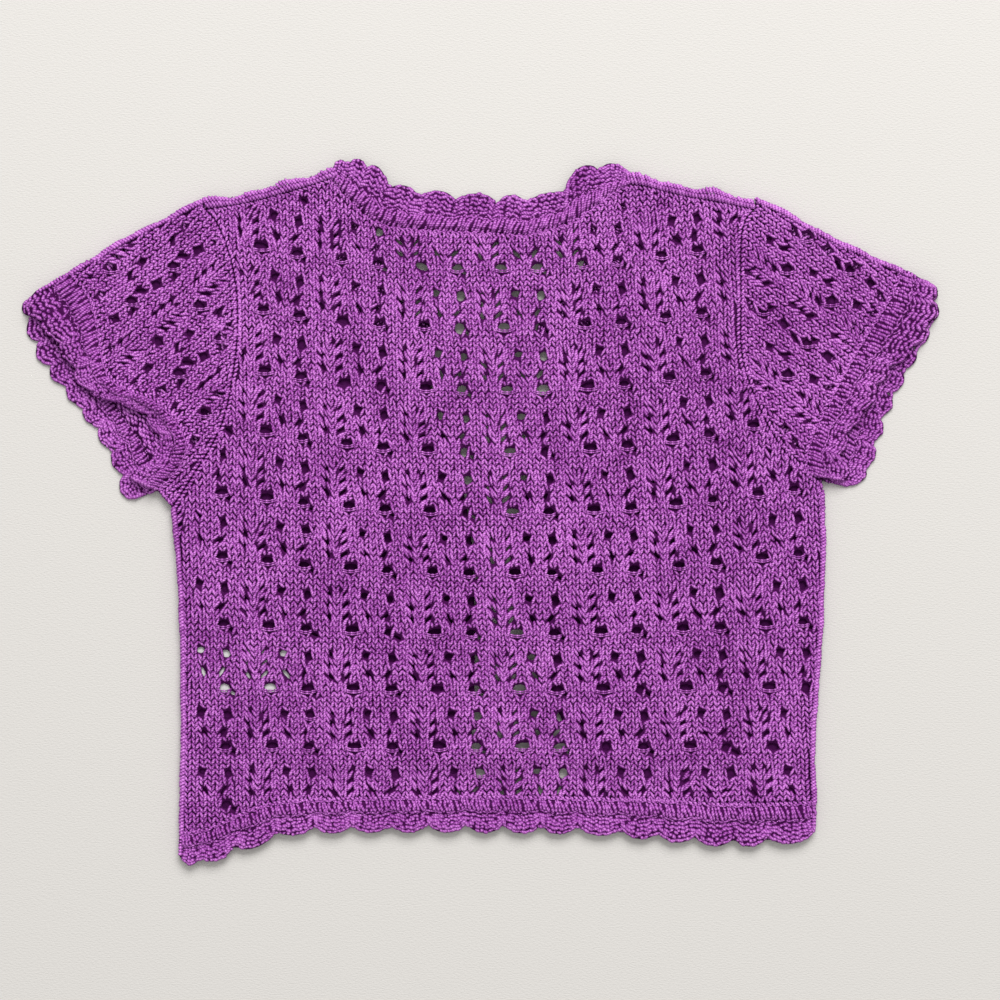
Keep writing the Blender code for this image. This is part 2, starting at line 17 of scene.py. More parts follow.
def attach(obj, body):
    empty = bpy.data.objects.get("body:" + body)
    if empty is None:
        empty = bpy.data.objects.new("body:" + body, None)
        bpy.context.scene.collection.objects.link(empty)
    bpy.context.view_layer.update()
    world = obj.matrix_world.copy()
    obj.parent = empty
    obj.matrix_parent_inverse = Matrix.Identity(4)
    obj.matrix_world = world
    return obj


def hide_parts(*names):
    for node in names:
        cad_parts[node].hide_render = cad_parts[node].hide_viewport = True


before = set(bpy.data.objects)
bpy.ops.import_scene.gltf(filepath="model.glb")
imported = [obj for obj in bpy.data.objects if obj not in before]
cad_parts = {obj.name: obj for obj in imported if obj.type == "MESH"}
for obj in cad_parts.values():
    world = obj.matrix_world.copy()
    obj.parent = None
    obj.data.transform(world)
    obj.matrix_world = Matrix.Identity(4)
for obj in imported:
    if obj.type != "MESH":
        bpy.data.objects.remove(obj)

bl_info = {
    "name": "Lace Cardigan",
    "version": (1, 0, 0),
    "blender": (4, 5, 0),
    "location": "3D View > Sidebar > Cardigan",
    "description": "Knits and crochets a lace cardigan that lies flat, its back upwards",
    "category": "Add Mesh",
}

MM = 0.001
TAB = "Cardigan"
BODY = "root"

# ---- Walls and layers ----
WALL = 2.4  # thickness of the knitting
LAYER_GAP = 1.0  # air between the lower and the upper layer
UPPER = WALL + LAYER_GAP  # underside of the upper layer
SEAM_GAP = 0.3  # between two pieces that are sewn together
SHOULDER_LAP = 7.0  # how far a front turns over the shoulder onto the back
FOLD_OUTER = WALL + LAYER_GAP / 2  # outer radius of that turn
FOLD_MIDDLE = FOLD_OUTER - WALL / 2
LAP_FLAT = SHOULDER_LAP - FOLD_OUTER - SEAM_GAP
LAP_LENGTH = math.pi * FOLD_MIDDLE + LAP_FLAT
FOLD_STEPS = 6
LAP_EASE = 3.0  # yarn that strays this far past the ends of the lap still turns over with it
GROUND_DEPTH = 1.8  # from a wall's outer face down to the ground that the yarn lies on
YARN_DEPTH = 1.0  # and down to the middle of the yarn

# ---- Lace ----
COLUMN_PITCH = 56.0  # width of one repeat at the top row
COLUMN_GROWTH = 0.315  # and how much wider it is in each row below
MIDDLE_START = 4.6  # x of the lace's middle at the top row
MIDDLE_DRIFT = 1.75  # and how far it moves in each row below
ROW_PITCH = 42.0
EDGE_COLUMN = 3.5  # the outermost flowers, in repeats from the middle
INNER_REACH = 16.0  # eyelets of those that lie further out than this are left out
LACE_ROWS = (
    # row, y at the middle, rise per repeat squared from the middle
    (-2, 253.9, 1.90),
    (0, 170.5, 1.90),
    (1, 128.8, 1.60),
    (2, 85.4, 1.70),
    (3, 42.0, 1.80),
    (4, -0.2, 1.25),
    (5, -42.7, 1.05),
    (6, -84.7, 0.60),
    (7, -123.9, 0.10),
    (8, -164.2, 0.00),
    (10, -244.8, 0.00),
)
FRONT_SHIFT = (13.3, 0.0)  # the fronts' eyelets lie under plain knitting of the back
SLEEVE_LACE = {
    # side: first flower, step along the armhole, step towards the cuff
    "left": ((-219.0, 178.7), (33.0, -50.5), (-29.0, -24.7)),
    "right": ((223.9, 185.3), (-30.0, -51.0), (30.5, -22.8)),
}
SLEEVE_SHIFT = (0.23, 0.0)  # of those steps, from a sleeve's back half to its front half
CHART = (
    # eyelet, across and up from the flower's middle, width, height, lean to the left in degrees
    ("wide", -17.5, 0.0, 10.2, 6.0, 0.0),
    ("tailed", 7.2, -0.6, 8.0, 6.4, 10.0),
    ("tail", 12.8, -4.0, 6.0, 2.2, -32.0),
    ("fan_left", -6.8, 9.6, 2.6, 7.0, 36.0),
    ("fan_right", 5.4, 10.0, 2.4, 7.0, -40.0),
    ("crown_left", -8.4, 23.8, 6.0, 4.4, 0.0),
    ("crown_right", 8.8, 22.2, 6.0, 6.6, -8.0),
    ("leaf_top_left", 23.6, 24.3, 2.0, 3.8, 30.0),
    ("leaf_top_right", 34.0, 24.5, 2.0, 3.8, -30.0),
    ("leaf_middle_left", 23.0, 16.6, 2.3, 5.0, 36.0),
    ("leaf_middle_right", 34.6, 16.8, 2.3, 5.0, -42.0),
    ("leaf_low_left", 23.2, 8.6, 2.5, 5.8, 36.0),
    ("leaf_low_right", 34.4, 9.0, 2.3, 6.0, -42.0),
)
PLAIN_CHART = CHART[:2]  # of the layer underneath
SLANT = 25.0  # an eyelet that leans more has the yarn beside it lying along it
SLANT_SHAPE = 1.4  # least height of such an eyelet, in widths
SLANT_REACH = 6.2  # how far from such an eyelet's middle the yarn still lies along it
SLANT_PULL = 1.5  # how fast it turns to lie so
SLANT_STRETCH = 0.35  # how much longer that yarn's legs are
SLANT_STOPS = 0.5  # the other leg of a stitch may be hidden where the slant's share is greater
SLANT_HIDES = 0.3  # and this many of them are
EYELET_SIDES = 8
EYELET_NEAR = 8.0  # more than any eyelet's half size
EYELET_UNEVEN = 0.12  # spread of their sizes, as a share
EYELET_TURNS = 0.12  # and of their turns, in radians
EYELET_CLEARANCE = 1.6  # least cloth between an eyelet and the edge of its piece
YARN_PUSH = 1.1  # how far outside an eyelet's rim the middle of the yarn lies
PUSH_REACH = 2.6  # how far, in radii, an eyelet moves the yarn around it
PUSH_EASE = 1.2  # the last part of that reach, where the push dies away
PUSH_POWER = 3  # the higher, the closer to the rim the yarn crowds
LEAST_RADIUS = 0.4  # yarn that starts nearer to an eyelet's middle is left out
MOST_STRETCH = 2.1  # and so is a leg that the push makes longer than this, in lengths of its own

# ---- Yarn: each leg of a stitch is a short spindle from its foot to its head ----
YARN_ARCH = 0.4  # how far a leg's middle bulges outwards
END_SHADE = 0.5  # how much darker a leg's ends are painted, as shade
SIDE_CREST = 0.5  # how light a leg's sides are painted, as a share of the painted highlight on its crest
YARN_REACH = 0.62  # half the length of a leg, as a share of the way from its foot to its head
YARN_FLAT = 0.92  # its thickness outwards, as a share of the one sideways
PLAIN_FORM = {"around": 3, "lengthways": 2}  # of the yarn that lies underneath

# ---- Stitches ----
RIM_SINK = 0.45  # how much deeper the yarn lies at an eyelet's rim
RIM_WIDTH = 0.45  # of that, as a share of the eyelet's radius
FOOT_ACROSS = 0.05  # of a wale, from its middle to a leg's foot
HEAD_ACROSS = 0.43  # and to its head
FOOT_DOWN = 0.62  # of a course, from the stitch's middle down to the foot
HEAD_UP = 0.56  # and up to the head
FOOT_TUCK = 0.70  # how much deeper a foot lies than a head
SELVEDGE = (2.5, 0.4)  # the edge's own column: its feet and heads, inwards from the edge
SELVEDGE_PITCH = 3.2  # between its legs
SELVEDGE_LEAD = 3.0  # how far its heads lie further along the edge
LEAST_EDGE = 0.8  # of the yarn's thickness, between a stitch's middle and a seam
JITTER = 0.18  # spread of the stitches' places
UNEVEN_THICKNESS = 0.08  # spread of the yarn's thickness, as a share
BAR_STEPS = 3  # parts of a loose bar across a wide eyelet
BAR_PLACE = 0.2  # how far under an eyelet's middle the first bar's ends lie, in half heights
BAR_DROPS = (0.0, 1.3)  # how much lower each bar lies
BAR_THICKNESS = 1.2
BAR_RAISE = 5.0  # the bars lie as high as the yarn this far from an edge
SEAM_SINK = 0.45  # how much deeper the yarn lies at a seam
SEAM_SINK_WIDTH = 2.0
SEAM_RIDGE = 0.6  # and how much higher beside it
SEAM_RIDGE_AT = 5.0  # where that ridge is highest, from the seam
SEAM_RIDGE_WIDTH = 2.6
WAVES = (0.22, (7.3, 5.9), (0.4, 2.1))  # the stitches sway out of their places: how far, lengths, starts
SLOW_WAVES = (0.5, (23.0, 31.0), (41.0, 29.0))  # how far, lengths, lengths crosswise
WIDE_EYELET = (3.5, 2.5)  # half sizes above which an eyelet has bars
BAR_SAG = 1.2  # how much lower a bar's middle lies
BAR_PAST = 0.8  # how far the bars run past the eyelet's sides
SLANT_SWELL = 0.1  # how much thicker the yarn beside a slanted eyelet is
PURL_UNDER = 12.0  # how far the bumps run on under the upper layer
PURL_EDGE = 1.5  # least way from a bump to the panel's edge
PURL_REACH = 0.36  # of a wale, half a bump's length
PURL_THICKNESS = 1.15  # in thicknesses of the yarn
PURL_RISE = (0.1, 0.12)  # mean and spread
PURL_JITTER = 3

# ---- Bars that wrap round an edge ----
SWELL_LENGTH = 6.0  # over which the bars grow longer and shorter
LONG_SWELL = 17.0
SWELL_RISE = 2.0  # how much higher a bar lies for each share that it is longer
UNEVEN_SWELL = 0.05  # spread of the bars' lengths, as a share
UNEVEN_BAR = 0.07  # and of their thickness
# Their bends: outwards from the edge's line, height
FOLDED_EDGE = ((-2.8, 5.6), (0.5, 4.6), (-0.6, 1.1))  # the turn from the upper to the lower layer
SHOULDER_ROLL = ((-3.9, 5.2), (-0.9, 7.0), (2.7, 4.8))  # the selvedge that lies along the shoulder's fold
ROLL_PITCH = 2.3  # between bars
ROLL_LEAN = 2.2  # how far along the edge a bar moves from one bend to the next
ROLL_YARN = 2.7
ROLL_SHADE = 0.12  # how much darker the ends of a bar's parts are painted, as shade
ROLL_PAST = 5.0  # how far the roll runs on past the shoulder's ends

# ---- Seams and edges, each a smooth curve through (x, y) ----
ARMHOLES = {
    "left": (
        (-193.5, 212.0), (-185.5, 204.0), (-176.8, 183.4), (-171.0, 155.4), (-170.6, 118.0),
        (-178.1, 71.4), (-188.0, 47.0), (-203.3, 22.4), (-216.0, 3.0),
    ),
    "right": (
        (192.0, 212.0), (184.6, 203.0), (182.3, 183.4), (182.3, 148.4), (183.6, 106.4), (197.0, 69.0),
        (209.6, 46.9), (223.6, 29.4), (240.0, 15.0),
    ),
}
SHOULDERS = {
    "left": ((-193.5, 212.0), (-161.4, 217.2), (-126.4, 226.8), (-105.3, 233.8)),
    "right": ((192.0, 212.0), (168.0, 217.0), (140.0, 222.0), (118.0, 227.8), (103.5, 229.5)),
}
SIDES = {
    "left": ((-216.0, 3.0), (-212.6, -30.0), (-209.8, -80.0), (-209.0, -150.0), (-210.5, -227.0)),
    "right": ((240.0, 15.0), (240.6, -30.0), (238.0, -95.0), (233.6, -160.0), (234.6, -205.0)),
}
BACK_NECK = (
    (-105.3, 233.8), (-94.8, 221.2), (-73.1, 203.0), (-45.8, 198.1), (18.5, 194.6), (34.6, 194.2),
    (66.1, 204.4), (94.1, 224.0), (103.5, 229.5),
)
BACK_NECK_BRIM = (
    (-102.5, 241.5), (-91.3, 243.0), (-77.0, 240.0), (-66.5, 230.0), (-54.2, 224.0), (-30.4, 220.5),
    (24.1, 217.5), (48.6, 219.5), (58.5, 225.0), (66.0, 234.5), (83.6, 240.4), (96.2, 238.0),
    (106.0, 233.5),
)
BACK_HEM = (
    (-210.5, -227.0), (-190.0, -223.0), (-160.0, -210.0), (-126.0, -203.5), (0.0, -201.0), (120.0, -203.5),
    (175.0, -206.5), (234.6, -205.0),
)
BACK_HEM_BRIM = (
    (-211.0, -240.0), (-197.0, -242.6), (-168.0, -233.5), (-147.0, -226.5), (-126.0, -221.0),
    (-50.0, -219.5), (28.0, -220.0), (82.0, -221.5), (137.0, -226.5), (175.0, -229.5), (216.0, -227.5),
    (234.0, -224.0),
)
FRONT_EDGES = {
    # from the hem up to the corner at the neck
    "left": ((-18.0, -201.3), (-7.0, -163.0), (-4.0, -90.0), (-9.0, 0.0), (-32.0, 75.0), (-37.0, 103.0)),
    "right": ((67.0, -202.0), (63.0, -163.0), (36.0, -95.0), (20.0, -40.0), (44.0, 65.0), (52.0, 106.0)),
}
FRONT_NECKS = {
    # from that corner up to the shoulder fold
    "left": ((-37.0, 103.0), (-66.0, 120.0), (-88.0, 146.0), (-101.0, 180.0), (-106.0, 237.0)),
    "right": ((52.0, 106.0), (72.0, 126.0), (89.0, 150.0), (103.0, 182.0), (107.0, 233.0)),
}
FRONT_NECK_BRIMS = {
    "left": ((-28.0, 122.0), (-48.0, 134.0), (-64.0, 155.0), (-74.0, 182.0), (-82.0, 234.5)),
    "right": ((39.0, 124.0), (53.0, 139.0), (66.0, 159.0), (77.0, 184.0), (82.0, 231.5)),
}
SLEEVE_TOPS = {
    # the fold along the top of the sleeve, from the armhole to the cuff's seam
    "left": ((-194.3, 218.9), (-224.3, 203.7), (-252.3, 189.2), (-288.8, 167.3)),
    "right": ((192.8, 219.2), (209.6, 212.1), (244.6, 192.6), (268.0, 181.6), (295.8, 169.4)),
}
CUFF_SEAMS = {
    ("left", "back"): (
        (-288.8, 167.3), (-274.5, 148.4), (-267.8, 120.4), (-262.0, 96.5), (-248.8, 85.0), (-229.9, 78.0),
        (-214.5, 65.0), (-205.6, 46.0), (-213.0, 28.5), (-226.5, 15.0),
    ),
    ("left", "front"): (
        (-288.8, 167.3), (-288.0, 132.0), (-271.9, 101.4), (-254.4, 72.4), (-236.5, 45.0), (-226.5, 15.0),
    ),
    ("right", "back"): (
        (295.8, 169.4), (287.0, 148.5), (267.1, 116.8), (248.8, 83.9), (234.0, 55.0), (228.6, 38.0),
        (230.5, 26.0),
    ),
    ("right", "front"): (
        (295.8, 169.4), (291.0, 142.4), (276.8, 110.5), (265.0, 84.0), (257.0, 57.0), (249.0, 34.0),
        (239.5, 22.0),
    ),
}
CUFF_BRIMS = {
    ("left", "back"): (
        (-314.0, 152.6), (-313.6, 141.0), (-301.0, 128.5), (-287.0, 110.0), (-276.5, 91.0), (-264.0, 81.5),
        (-243.0, 74.8), (-228.0, 62.5), (-220.8, 46.5), (-229.5, 33.5), (-246.0, 24.5),
    ),
    ("left", "front"): (
        (-312.5, 153.2), (-317.4, 142.0), (-306.5, 110.0), (-287.0, 84.5), (-267.0, 58.5), (-253.0, 33.0),
        (-246.5, 8.5),
    ),
    ("right", "back"): (
        (308.0, 163.8), (316.0, 153.5), (312.0, 133.0), (297.5, 113.0), (278.5, 94.0), (269.5, 76.0),
        (255.8, 58.0), (250.5, 40.0), (256.0, 22.0),
    ),
    ("right", "front"): (
        (309.0, 163.0), (318.5, 148.5), (311.0, 126.0), (296.0, 99.0), (284.0, 75.0), (275.0, 50.0),
        (269.0, 30.0), (258.0, 18.0),
    ),
}
UNDERARMS = {
    # the sleeve's short lower edge, from the cuff's seam to the armhole
    ("left", "back"): ((-226.5, 15.0), (-216.0, 3.0)),
    ("left", "front"): ((-226.5, 15.0), (-216.0, 3.0)),
    ("right", "back"): ((230.5, 26.0), (240.0, 15.0)),
    ("right", "front"): ((239.5, 22.0), (240.0, 15.0)),
}

# ---- Edgings ----
SCALLOP_DEPTH = 8.0  # from a scallop's top down to its valleys
SCALLOP_INSET = 3.0  # how far the valleys lie within the brim's line
SCALLOP_ROUND = 0.5  # power that makes a scallop's back rounder than a sine
SCALLOPS = {"neck_front": 6, "hem_front": 8, "cuff": 9}
SCALLOP_VALLEYS = {
    # x of the valleys between scallops, where they show
    "neck_back": (-106, -94, -80, -63.6, -43.3, -17.4, 11.6, 31.6, 59.2, 83, 107),
    "hem_back": (-212, -196, -172, -143, -116, -90, -63, -37, -10, 16, 42, 68, 98, 124, 149.5, 177, 201, 235),
}
EDGING_SECTION = (
    # place from seam to brim, thickness on top, thickness underneath the other layer
    (0.00, 2.2, 2.2),
    (0.10, 3.4, 2.6),
    (0.22, 4.0, 2.7),
    (0.36, 3.2, 2.5),
    (0.48, 2.0, 2.1),
    (0.62, 2.2, 2.2),
    (0.82, 2.8, 2.5),
    (1.00, 2.5, 2.4),
)
END_RIM = ((-2.6, 6.0), (0.4, 4.4), (-0.6, 1.0))  # bends of the bars at an edging's end
SHELL_WIDTH = 11.0  # of the groups that the roll's posts stand in
SHELL_GATHER = 0.6  # how strongly they draw together at the seam
SHELL_LEAN = 2.0  # how far along the edging the posts' heads lie from their feet
SHELL_END = 0.36  # where the roll ends, as a share of the way to the brim
SCALLOP_GATHER = 0.5  # how strongly the stitches draw towards each scallop's middle
FAN_START = 8  # how fast that begins beyond the roll
FAN_END = (0.5, 2)  # where it starts to die away, and how fast
EDGING_SHADE = 0.45  # how much darker the ends of its yarn are painted, as shade
EDGING_TONE = 0.45  # how light the edgings' yarn is, beside the knitting's
EDGING_SPREAD = {"along": 0.13, "reach": 0.3, "depth": 0.010, "across": 0.2, "rise": 0.12, "thick": 0.10}
SCALLOP_STEPS = 8  # of the ground, along a scallop
EDGING_ROWS_OF_GROUND = 8
EDGING_GROUND = 0.8  # depth of that ground under the upper face
EDGING_UNDERSIDE = 9.0  # more than any thickness, so that it reaches the lower face
END_POINTS = 9  # of the run that the bars at an end follow
END_LEAN = 0.5
END_SWELL = 0.1
EDGING_ROWS = (
    # middle's share of the depth; half reach across and along, pitch, thickness, rise, every other one's turn
    (-0.030, 0.7, 1.5, 2.6, 1.7, 0.3, 0.006),  # the strand along the seam
    (0.060, 2.2, 0.3, 2.75, 2.4, -0.5, 0.0),  # the posts of the roll
    (0.165, 2.5, 0.3, 2.75, 2.6, 0.3, 0.0),
    (0.280, 2.2, 0.3, 2.75, 2.5, 0.2, 0.0),
    (0.372, 0.7, 1.9, 3.3, 2.0, -0.2, 0.006),  # the chain along their heads
    (0.430, 1.0, 2.0, 3.0, 1.7, -0.6, 0.014),  # the groove
    (0.505, 1.0, 1.8, 3.3, 2.7, -0.1, 0.012),  # the scallops
    (0.615, 1.0, 1.8, 3.3, 2.9, 0.1, 0.012),
    (0.725, 1.0, 1.8, 3.3, 2.9, 0.2, 0.012),
    (0.840, 1.0, 1.8, 3.3, 2.9, 0.2, 0.012),
    (0.950, 0.7, 2.0, 3.2, 2.8, -0.3, 0.006),
)
NECK_DROOP = 2.9  # the back neck's edging lies down on the plane, where no front lies under it
DROOP_HALF_WIDTH = 62.0
DROOP_EASE = 14.0

# ---- Soft ridges and troughs of the upper layer ----
FOLDS = (
    # x, y, degrees, half length, half width, height
    (-292.0, 126.0, -55.0, 34.0, 9.0, 4.0),  # left cuff, puffed up above the one below it
    (-262.0, 86.0, -40.0, 18.0, 8.0, 2.0),
    (-236.0, 78.0, -18.0, 22.0, 7.0, 4.6),  # left cuff, turned back at its mouth
    (-214.0, 55.0, -60.0, 18.0, 7.0, 4.4),
    (-226.0, 30.0, 40.0, 16.0, 7.0, 4.6),
    (286.0, 124.0, 60.0, 40.0, 9.0, 3.0),  # right cuff
    (256.0, 70.0, 62.0, 22.0, 9.0, 3.4),
    (240.0, 40.0, 75.0, 18.0, 9.0, 4.4),
    (-198.0, 62.0, 62.0, 34.0, 8.0, 2.0),  # beside the armholes
    (210.0, 62.0, -56.0, 36.0, 8.0, 2.0),
    (-240.0, 182.0, 29.0, 44.0, 8.0, 1.4),  # along the sleeves' tops
    (242.0, 182.0, -30.0, 44.0, 8.0, 1.8),
    (10.0, -48.0, 2.0, 170.0, 80.0, 3.2),  # the back's broad crown
    (-20.0, 120.0, 84.0, 60.0, 40.0, 1.4),
    (4.0, 134.0, 90.0, 34.0, 7.0, 1.0),  # small ridges down the back
    (30.0, 140.0, 86.0, 36.0, 7.0, 1.0),
    (70.0, 66.0, 92.0, 36.0, 8.0, 1.1),
    (98.0, 60.0, 88.0, 30.0, 8.0, 0.9),
    (-72.0, 20.0, 96.0, 40.0, 9.0, 0.9),
    (24.0, -146.0, 1.0, 84.0, 8.0, 1.8),  # and across it, above the hem
    (0.0, -171.0, 0.0, 130.0, 9.0, 1.4),
    (20.0, -188.0, 0.0, 190.0, 7.0, -1.6),
)

# ---- Care label ----
LABEL_SIZE = (78.0, 42.0, 0.4)
LABEL_CENTRE = (-166.0, -110.0, (WALL + UPPER) / 2)
LABEL_STEPS = (26, 14)
LABEL_WAVE = 0.12
LABEL_WAVE_LENGTHS = (9.0, 7.0)

# ---- Plans ----
HEM_START = 7.0  # least way from a front's edge to the back's own points along the hem
DENSE_STEPS = 40  # points worked out between two of a curve's own
OUTLINE_STEP = 5.0  # between points of a panel's outline
NECK_SLOPES = {"left": 0.3, "right": -0.2}  # of the shoulder's fold where it runs on to the neck
BRIM_POINTS = 11  # of a front hem's brim, before those past its ends are left out
NEARBY = 0.01  # a small share of a length, for finding a direction
PLAIN_SPACING = 15.0  # between points of plain cloth
PLAIN_CLEARANCE = 4.0
SHARP_CORNER = 0.1  # where a loop turns right back, its two sides' directions add up to less
LEAST_LEAN = 0.35  # keeps a sharp corner from running out when a loop is shrunk

# ---- Finish of the yarn: shares of its shade, from the painted shade of its depths at 0 to the painted highlight of its crests at 1 ----
SHADE_BASE = 0.78
SHADE_TONE = 0.42  # from leg to leg
# painted glints and shade along the ply's twist
SHADE_PLY = 0.15
SHADE_PATCHES = 0.5
SHADE_FIBRES = 0.3
PLY_PER_MM = 4.6  # of a turn's phase along the yarn
PATCH_WAVES = 26.0  # waves per metre of the patches that are lighter and darker
FIBRE_WAVES = 1500.0
GROUND_SHADE_SHARE = 0.6  # share of the painted shade colour that the ground shell behind the yarn has in its dark places
GROUND_MIDDLE = 0.22  # and of the yarn's colour in its light ones; the whole ground is painted as the shade between the legs

# ---- Picture: in metres, apart from the sensor ----
PICTURE_WIDTH = 0.70  # of the plane that the camera takes in
PICTURE_MIDDLE = (0.01365, 0.0084, 0.005)
CAMERA_HEIGHT = 1.3
SENSOR = 36.0
WINDOW_PLACE = (0.6, 3.4, 2.9)
WINDOW_SIZE = (3.0, 2.2)
WINDOW_POWER = 185.0
WINDOW_TINT = (1.0, 0.985, 0.97)
ROOM_TINT = (1.0, 0.985, 0.965)
ROOM_LIGHT = 0.50
FLOOR_HALF = 3.0
FLOOR_DROP = 0.0001  # so that nothing lies in the floor's own plane
WEAVE = (420.0, 1150.0, 1.0)  # waves per metre of the floor's threads, across and down the picture


# ======== Curves, outlines and distances ========
def dense_curve(points):
    """A close-set Catmull-Rom curve through the points."""
    knots = np.array(points, float)
    knots = np.vstack((knots[:1] * 2 - knots[1:2], knots, knots[-1:] * 2 - knots[-2:-1]))
    t = (np.arange(DENSE_STEPS) / DENSE_STEPS)[None, :, None]
    before, start, end, after = (knots[place : len(knots) - 3 + place, None] for place in range(4))
    curve = 0.5 * (
        start * 2
        + (end - before) * t
        + (before * 2 - start * 5 + end * 4 - after) * t**2
        + (start * 3 - before - end * 3 + after) * t**3
    )
    return np.vstack((curve.reshape(-1, knots.shape[1]), knots[-2:-1]))


def lengths_along(points):
    """Distance along a run of points up to each of them."""
    return np.concatenate(([0.0], np.cumsum(np.linalg.norm(np.diff(points, axis=0), axis=1))))


def along(points, shares):
    """Points at shares, from 0 to 1, of the length of a close-set run."""
    lengths = lengths_along(points)
    wanted = np.asarray(shares) * lengths[-1]
    return np.stack([np.interp(wanted, lengths, points[:, axis]) for axis in range(points.shape[1])], -1)


def evenly(points, spacing=OUTLINE_STEP):
    """The smooth curve through the points, cut into equal steps of about the spacing."""
    dense = dense_curve(points)
    steps = max(2, round(lengths_along(dense)[-1] / spacing))
    return along(dense, np.linspace(0, 1, steps + 1))


def longer(run, by):
    """The run with a straight piece added to its neck's end."""
    first, last = (run[0], run[1]), (run[-1], run[-2])
    end, before = min(first, last, key=lambda pair: abs(pair[0][0]))
    added = end + (end - before) * by / np.linalg.norm(end - before)
    return np.vstack((added, run)) if end is first[0] else np.vstack((run, added))


def smooth(t):
    """0 to 1 with soft ends."""
    t = np.clip(t, 0, 1)
    return t * t * (3 - 2 * t)


def joined(*runs):
    """One closed counter-clockwise loop from runs of points, without the points that two runs share."""
    loop = np.vstack(runs)
    gaps = np.linalg.norm(loop - np.roll(loop, 1, axis=0), axis=1)
    loop = loop[gaps > SEAM_GAP / 3]
    return loop if signed_area(loop) > 0 else loop[::-1]


def signed_area(loop):
    """Area within a loop, positive where it runs counter-clockwise."""
    after = np.roll(loop, -1, axis=0)
    return float((loop[:, 0] * after[:, 1] - after[:, 0] * loop[:, 1]).sum() / 2)


def shrunk(loop, by):
    """The counter-clockwise loop with each side moved in."""
    arriving = loop - np.roll(loop, 1, axis=0)
    leaving = np.roll(loop, -1, axis=0) - loop
    arriving /= np.linalg.norm(arriving, axis=1, keepdims=True)
    leaving /= np.linalg.norm(leaving, axis=1, keepdims=True)
    left = np.stack((-arriving[:, 1], arriving[:, 0]), -1)
    inwards = left + np.stack((-leaving[:, 1], leaving[:, 0]), -1)
    flat = np.linalg.norm(inwards, axis=1) < SHARP_CORNER
    inwards[flat] = left[flat]
    inwards /= np.linalg.norm(inwards, axis=1, keepdims=True)
    lean = np.maximum((inwards * left).sum(1, keepdims=True), LEAST_LEAN)
    return loop + inwards * by / lean


def is_inside(loop, points):
    """Whether each point lies within the loop."""
    inside = np.zeros(len(points), bool)
    for start, end in zip(loop, np.roll(loop, -1, axis=0)):
        if start[1] != end[1]:
            spans = (start[1] > points[:, 1]) != (end[1] > points[:, 1])
            crossing = start[0] + (end[0] - start[0]) * (points[:, 1] - start[1]) / (end[1] - start[1])
            inside ^= spans & (points[:, 0] < crossing)
    return inside


def distance_to(loop, points):
    """How far each point lies from the loop's sides."""
    nearest = np.full(len(points), np.inf)
    for start, end in zip(loop, np.roll(loop, -1, axis=0)):
        side = end - start
        share = np.clip(((points - start) @ side) / (side @ side), 0, 1)
        nearest = np.minimum(nearest, np.linalg.norm(points - start - share[:, None] * side, axis=1))
    return nearest


def folds(x, y):
    """Height that the soft ridges add at places on the upper layer."""
    height = np.zeros(np.shape(x))
    for middle_x, middle_y, degrees, half_length, half_width, top in FOLDS:
        turn = math.radians(degrees)
        forward = (x - middle_x) * math.cos(turn) + (y - middle_y) * math.sin(turn)
        sideways = (y - middle_y) * math.cos(turn) - (x - middle_x) * math.sin(turn)
        height += top * np.exp(-((forward / half_length) ** 2) - (sideways / half_width) ** 2)
    return np.maximum(height, -LAYER_GAP / 2)


# ======== Lattices of the lace: columns are repeats to the chart's right, rows are repeats down ========
def body_lattice(column, row):
    """Places of the body's lace."""
    rows, heights, rises = np.array(LACE_ROWS).T
    x = MIDDLE_START + MIDDLE_DRIFT * row + (COLUMN_PITCH + COLUMN_GROWTH * row) * column
    y = np.interp(row, rows, heights) + np.interp(row, rows, rises) * column**2
    return np.stack(np.broadcast_arrays(x, y), -1)


def front_lattice(column, row):
    """Places of a front's lace."""
    return body_lattice(column, row) + np.array(FRONT_SHIFT)


def sleeve_lattice(side, shift):
    """The function that places one sleeve's lace."""
    first, step, out = (np.array(row) for row in SLEEVE_LACE[side])
    first = first + step * shift[0] + out * shift[1]
    if side == "right":
        step = -step

    def place(column, row):
        column, row = np.broadcast_arrays(column, row)
        return first + step * column[..., None] + out * row[..., None]

    return place


def lace_eyelets(lattice, columns, rows, loop, is_body, chart=CHART):
    """Each eyelet's middle, half sizes, turn and slant, for those that a panel has room for."""
    found = []
    for column in columns:
        for row in rows:
            for _, across, up, width, height, lean in chart:
                is_outward = across * column > 0 and abs(across) > INNER_REACH
                if is_body and abs(column) >= EDGE_COLUMN and is_outward:
                    continue
                place = (column + across / COLUMN_PITCH, row - up / ROW_PITCH)
                middle = lattice(*place)
                rightwards = lattice(place[0] + NEARBY, place[1]) - middle
                turn = math.atan2(rightwards[1], rightwards[0]) + math.radians(lean)
                slant = math.copysign(1, lean) if abs(lean) > SLANT and height > width * SLANT_SHAPE else 0
                found.append((*middle, width / 2, height / 2, turn, slant))
    found = np.array(found)
    dice = np.random.default_rng(len(found))
    found[:, 2:4] *= 1 + dice.normal(0, EYELET_UNEVEN, (len(found), 2))
    found[:, 4] += dice.normal(0, EYELET_TURNS, len(found))
    middles = found[:, :2]
    room = distance_to(loop, middles) - found[:, 2:4].max(1)
    return found[is_inside(loop, middles) & (room > EYELET_CLEARANCE)]


def eyelet_rings(eyelets):
    """The outline of each eyelet."""
    angles = np.arange(EYELET_SIDES) * math.tau / EYELET_SIDES
    rings = []
    for x, y, wide, tall, turn, _ in eyelets:
        reach = wide * np.cos(angles)
        rise = tall * np.sin(angles)
        ring_x = x + reach * math.cos(turn) - rise * math.sin(turn)
        ring_y = y + reach * math.sin(turn) + rise * math.cos(turn)
        rings.append(np.stack((ring_x, ring_y), -1))
    return rings


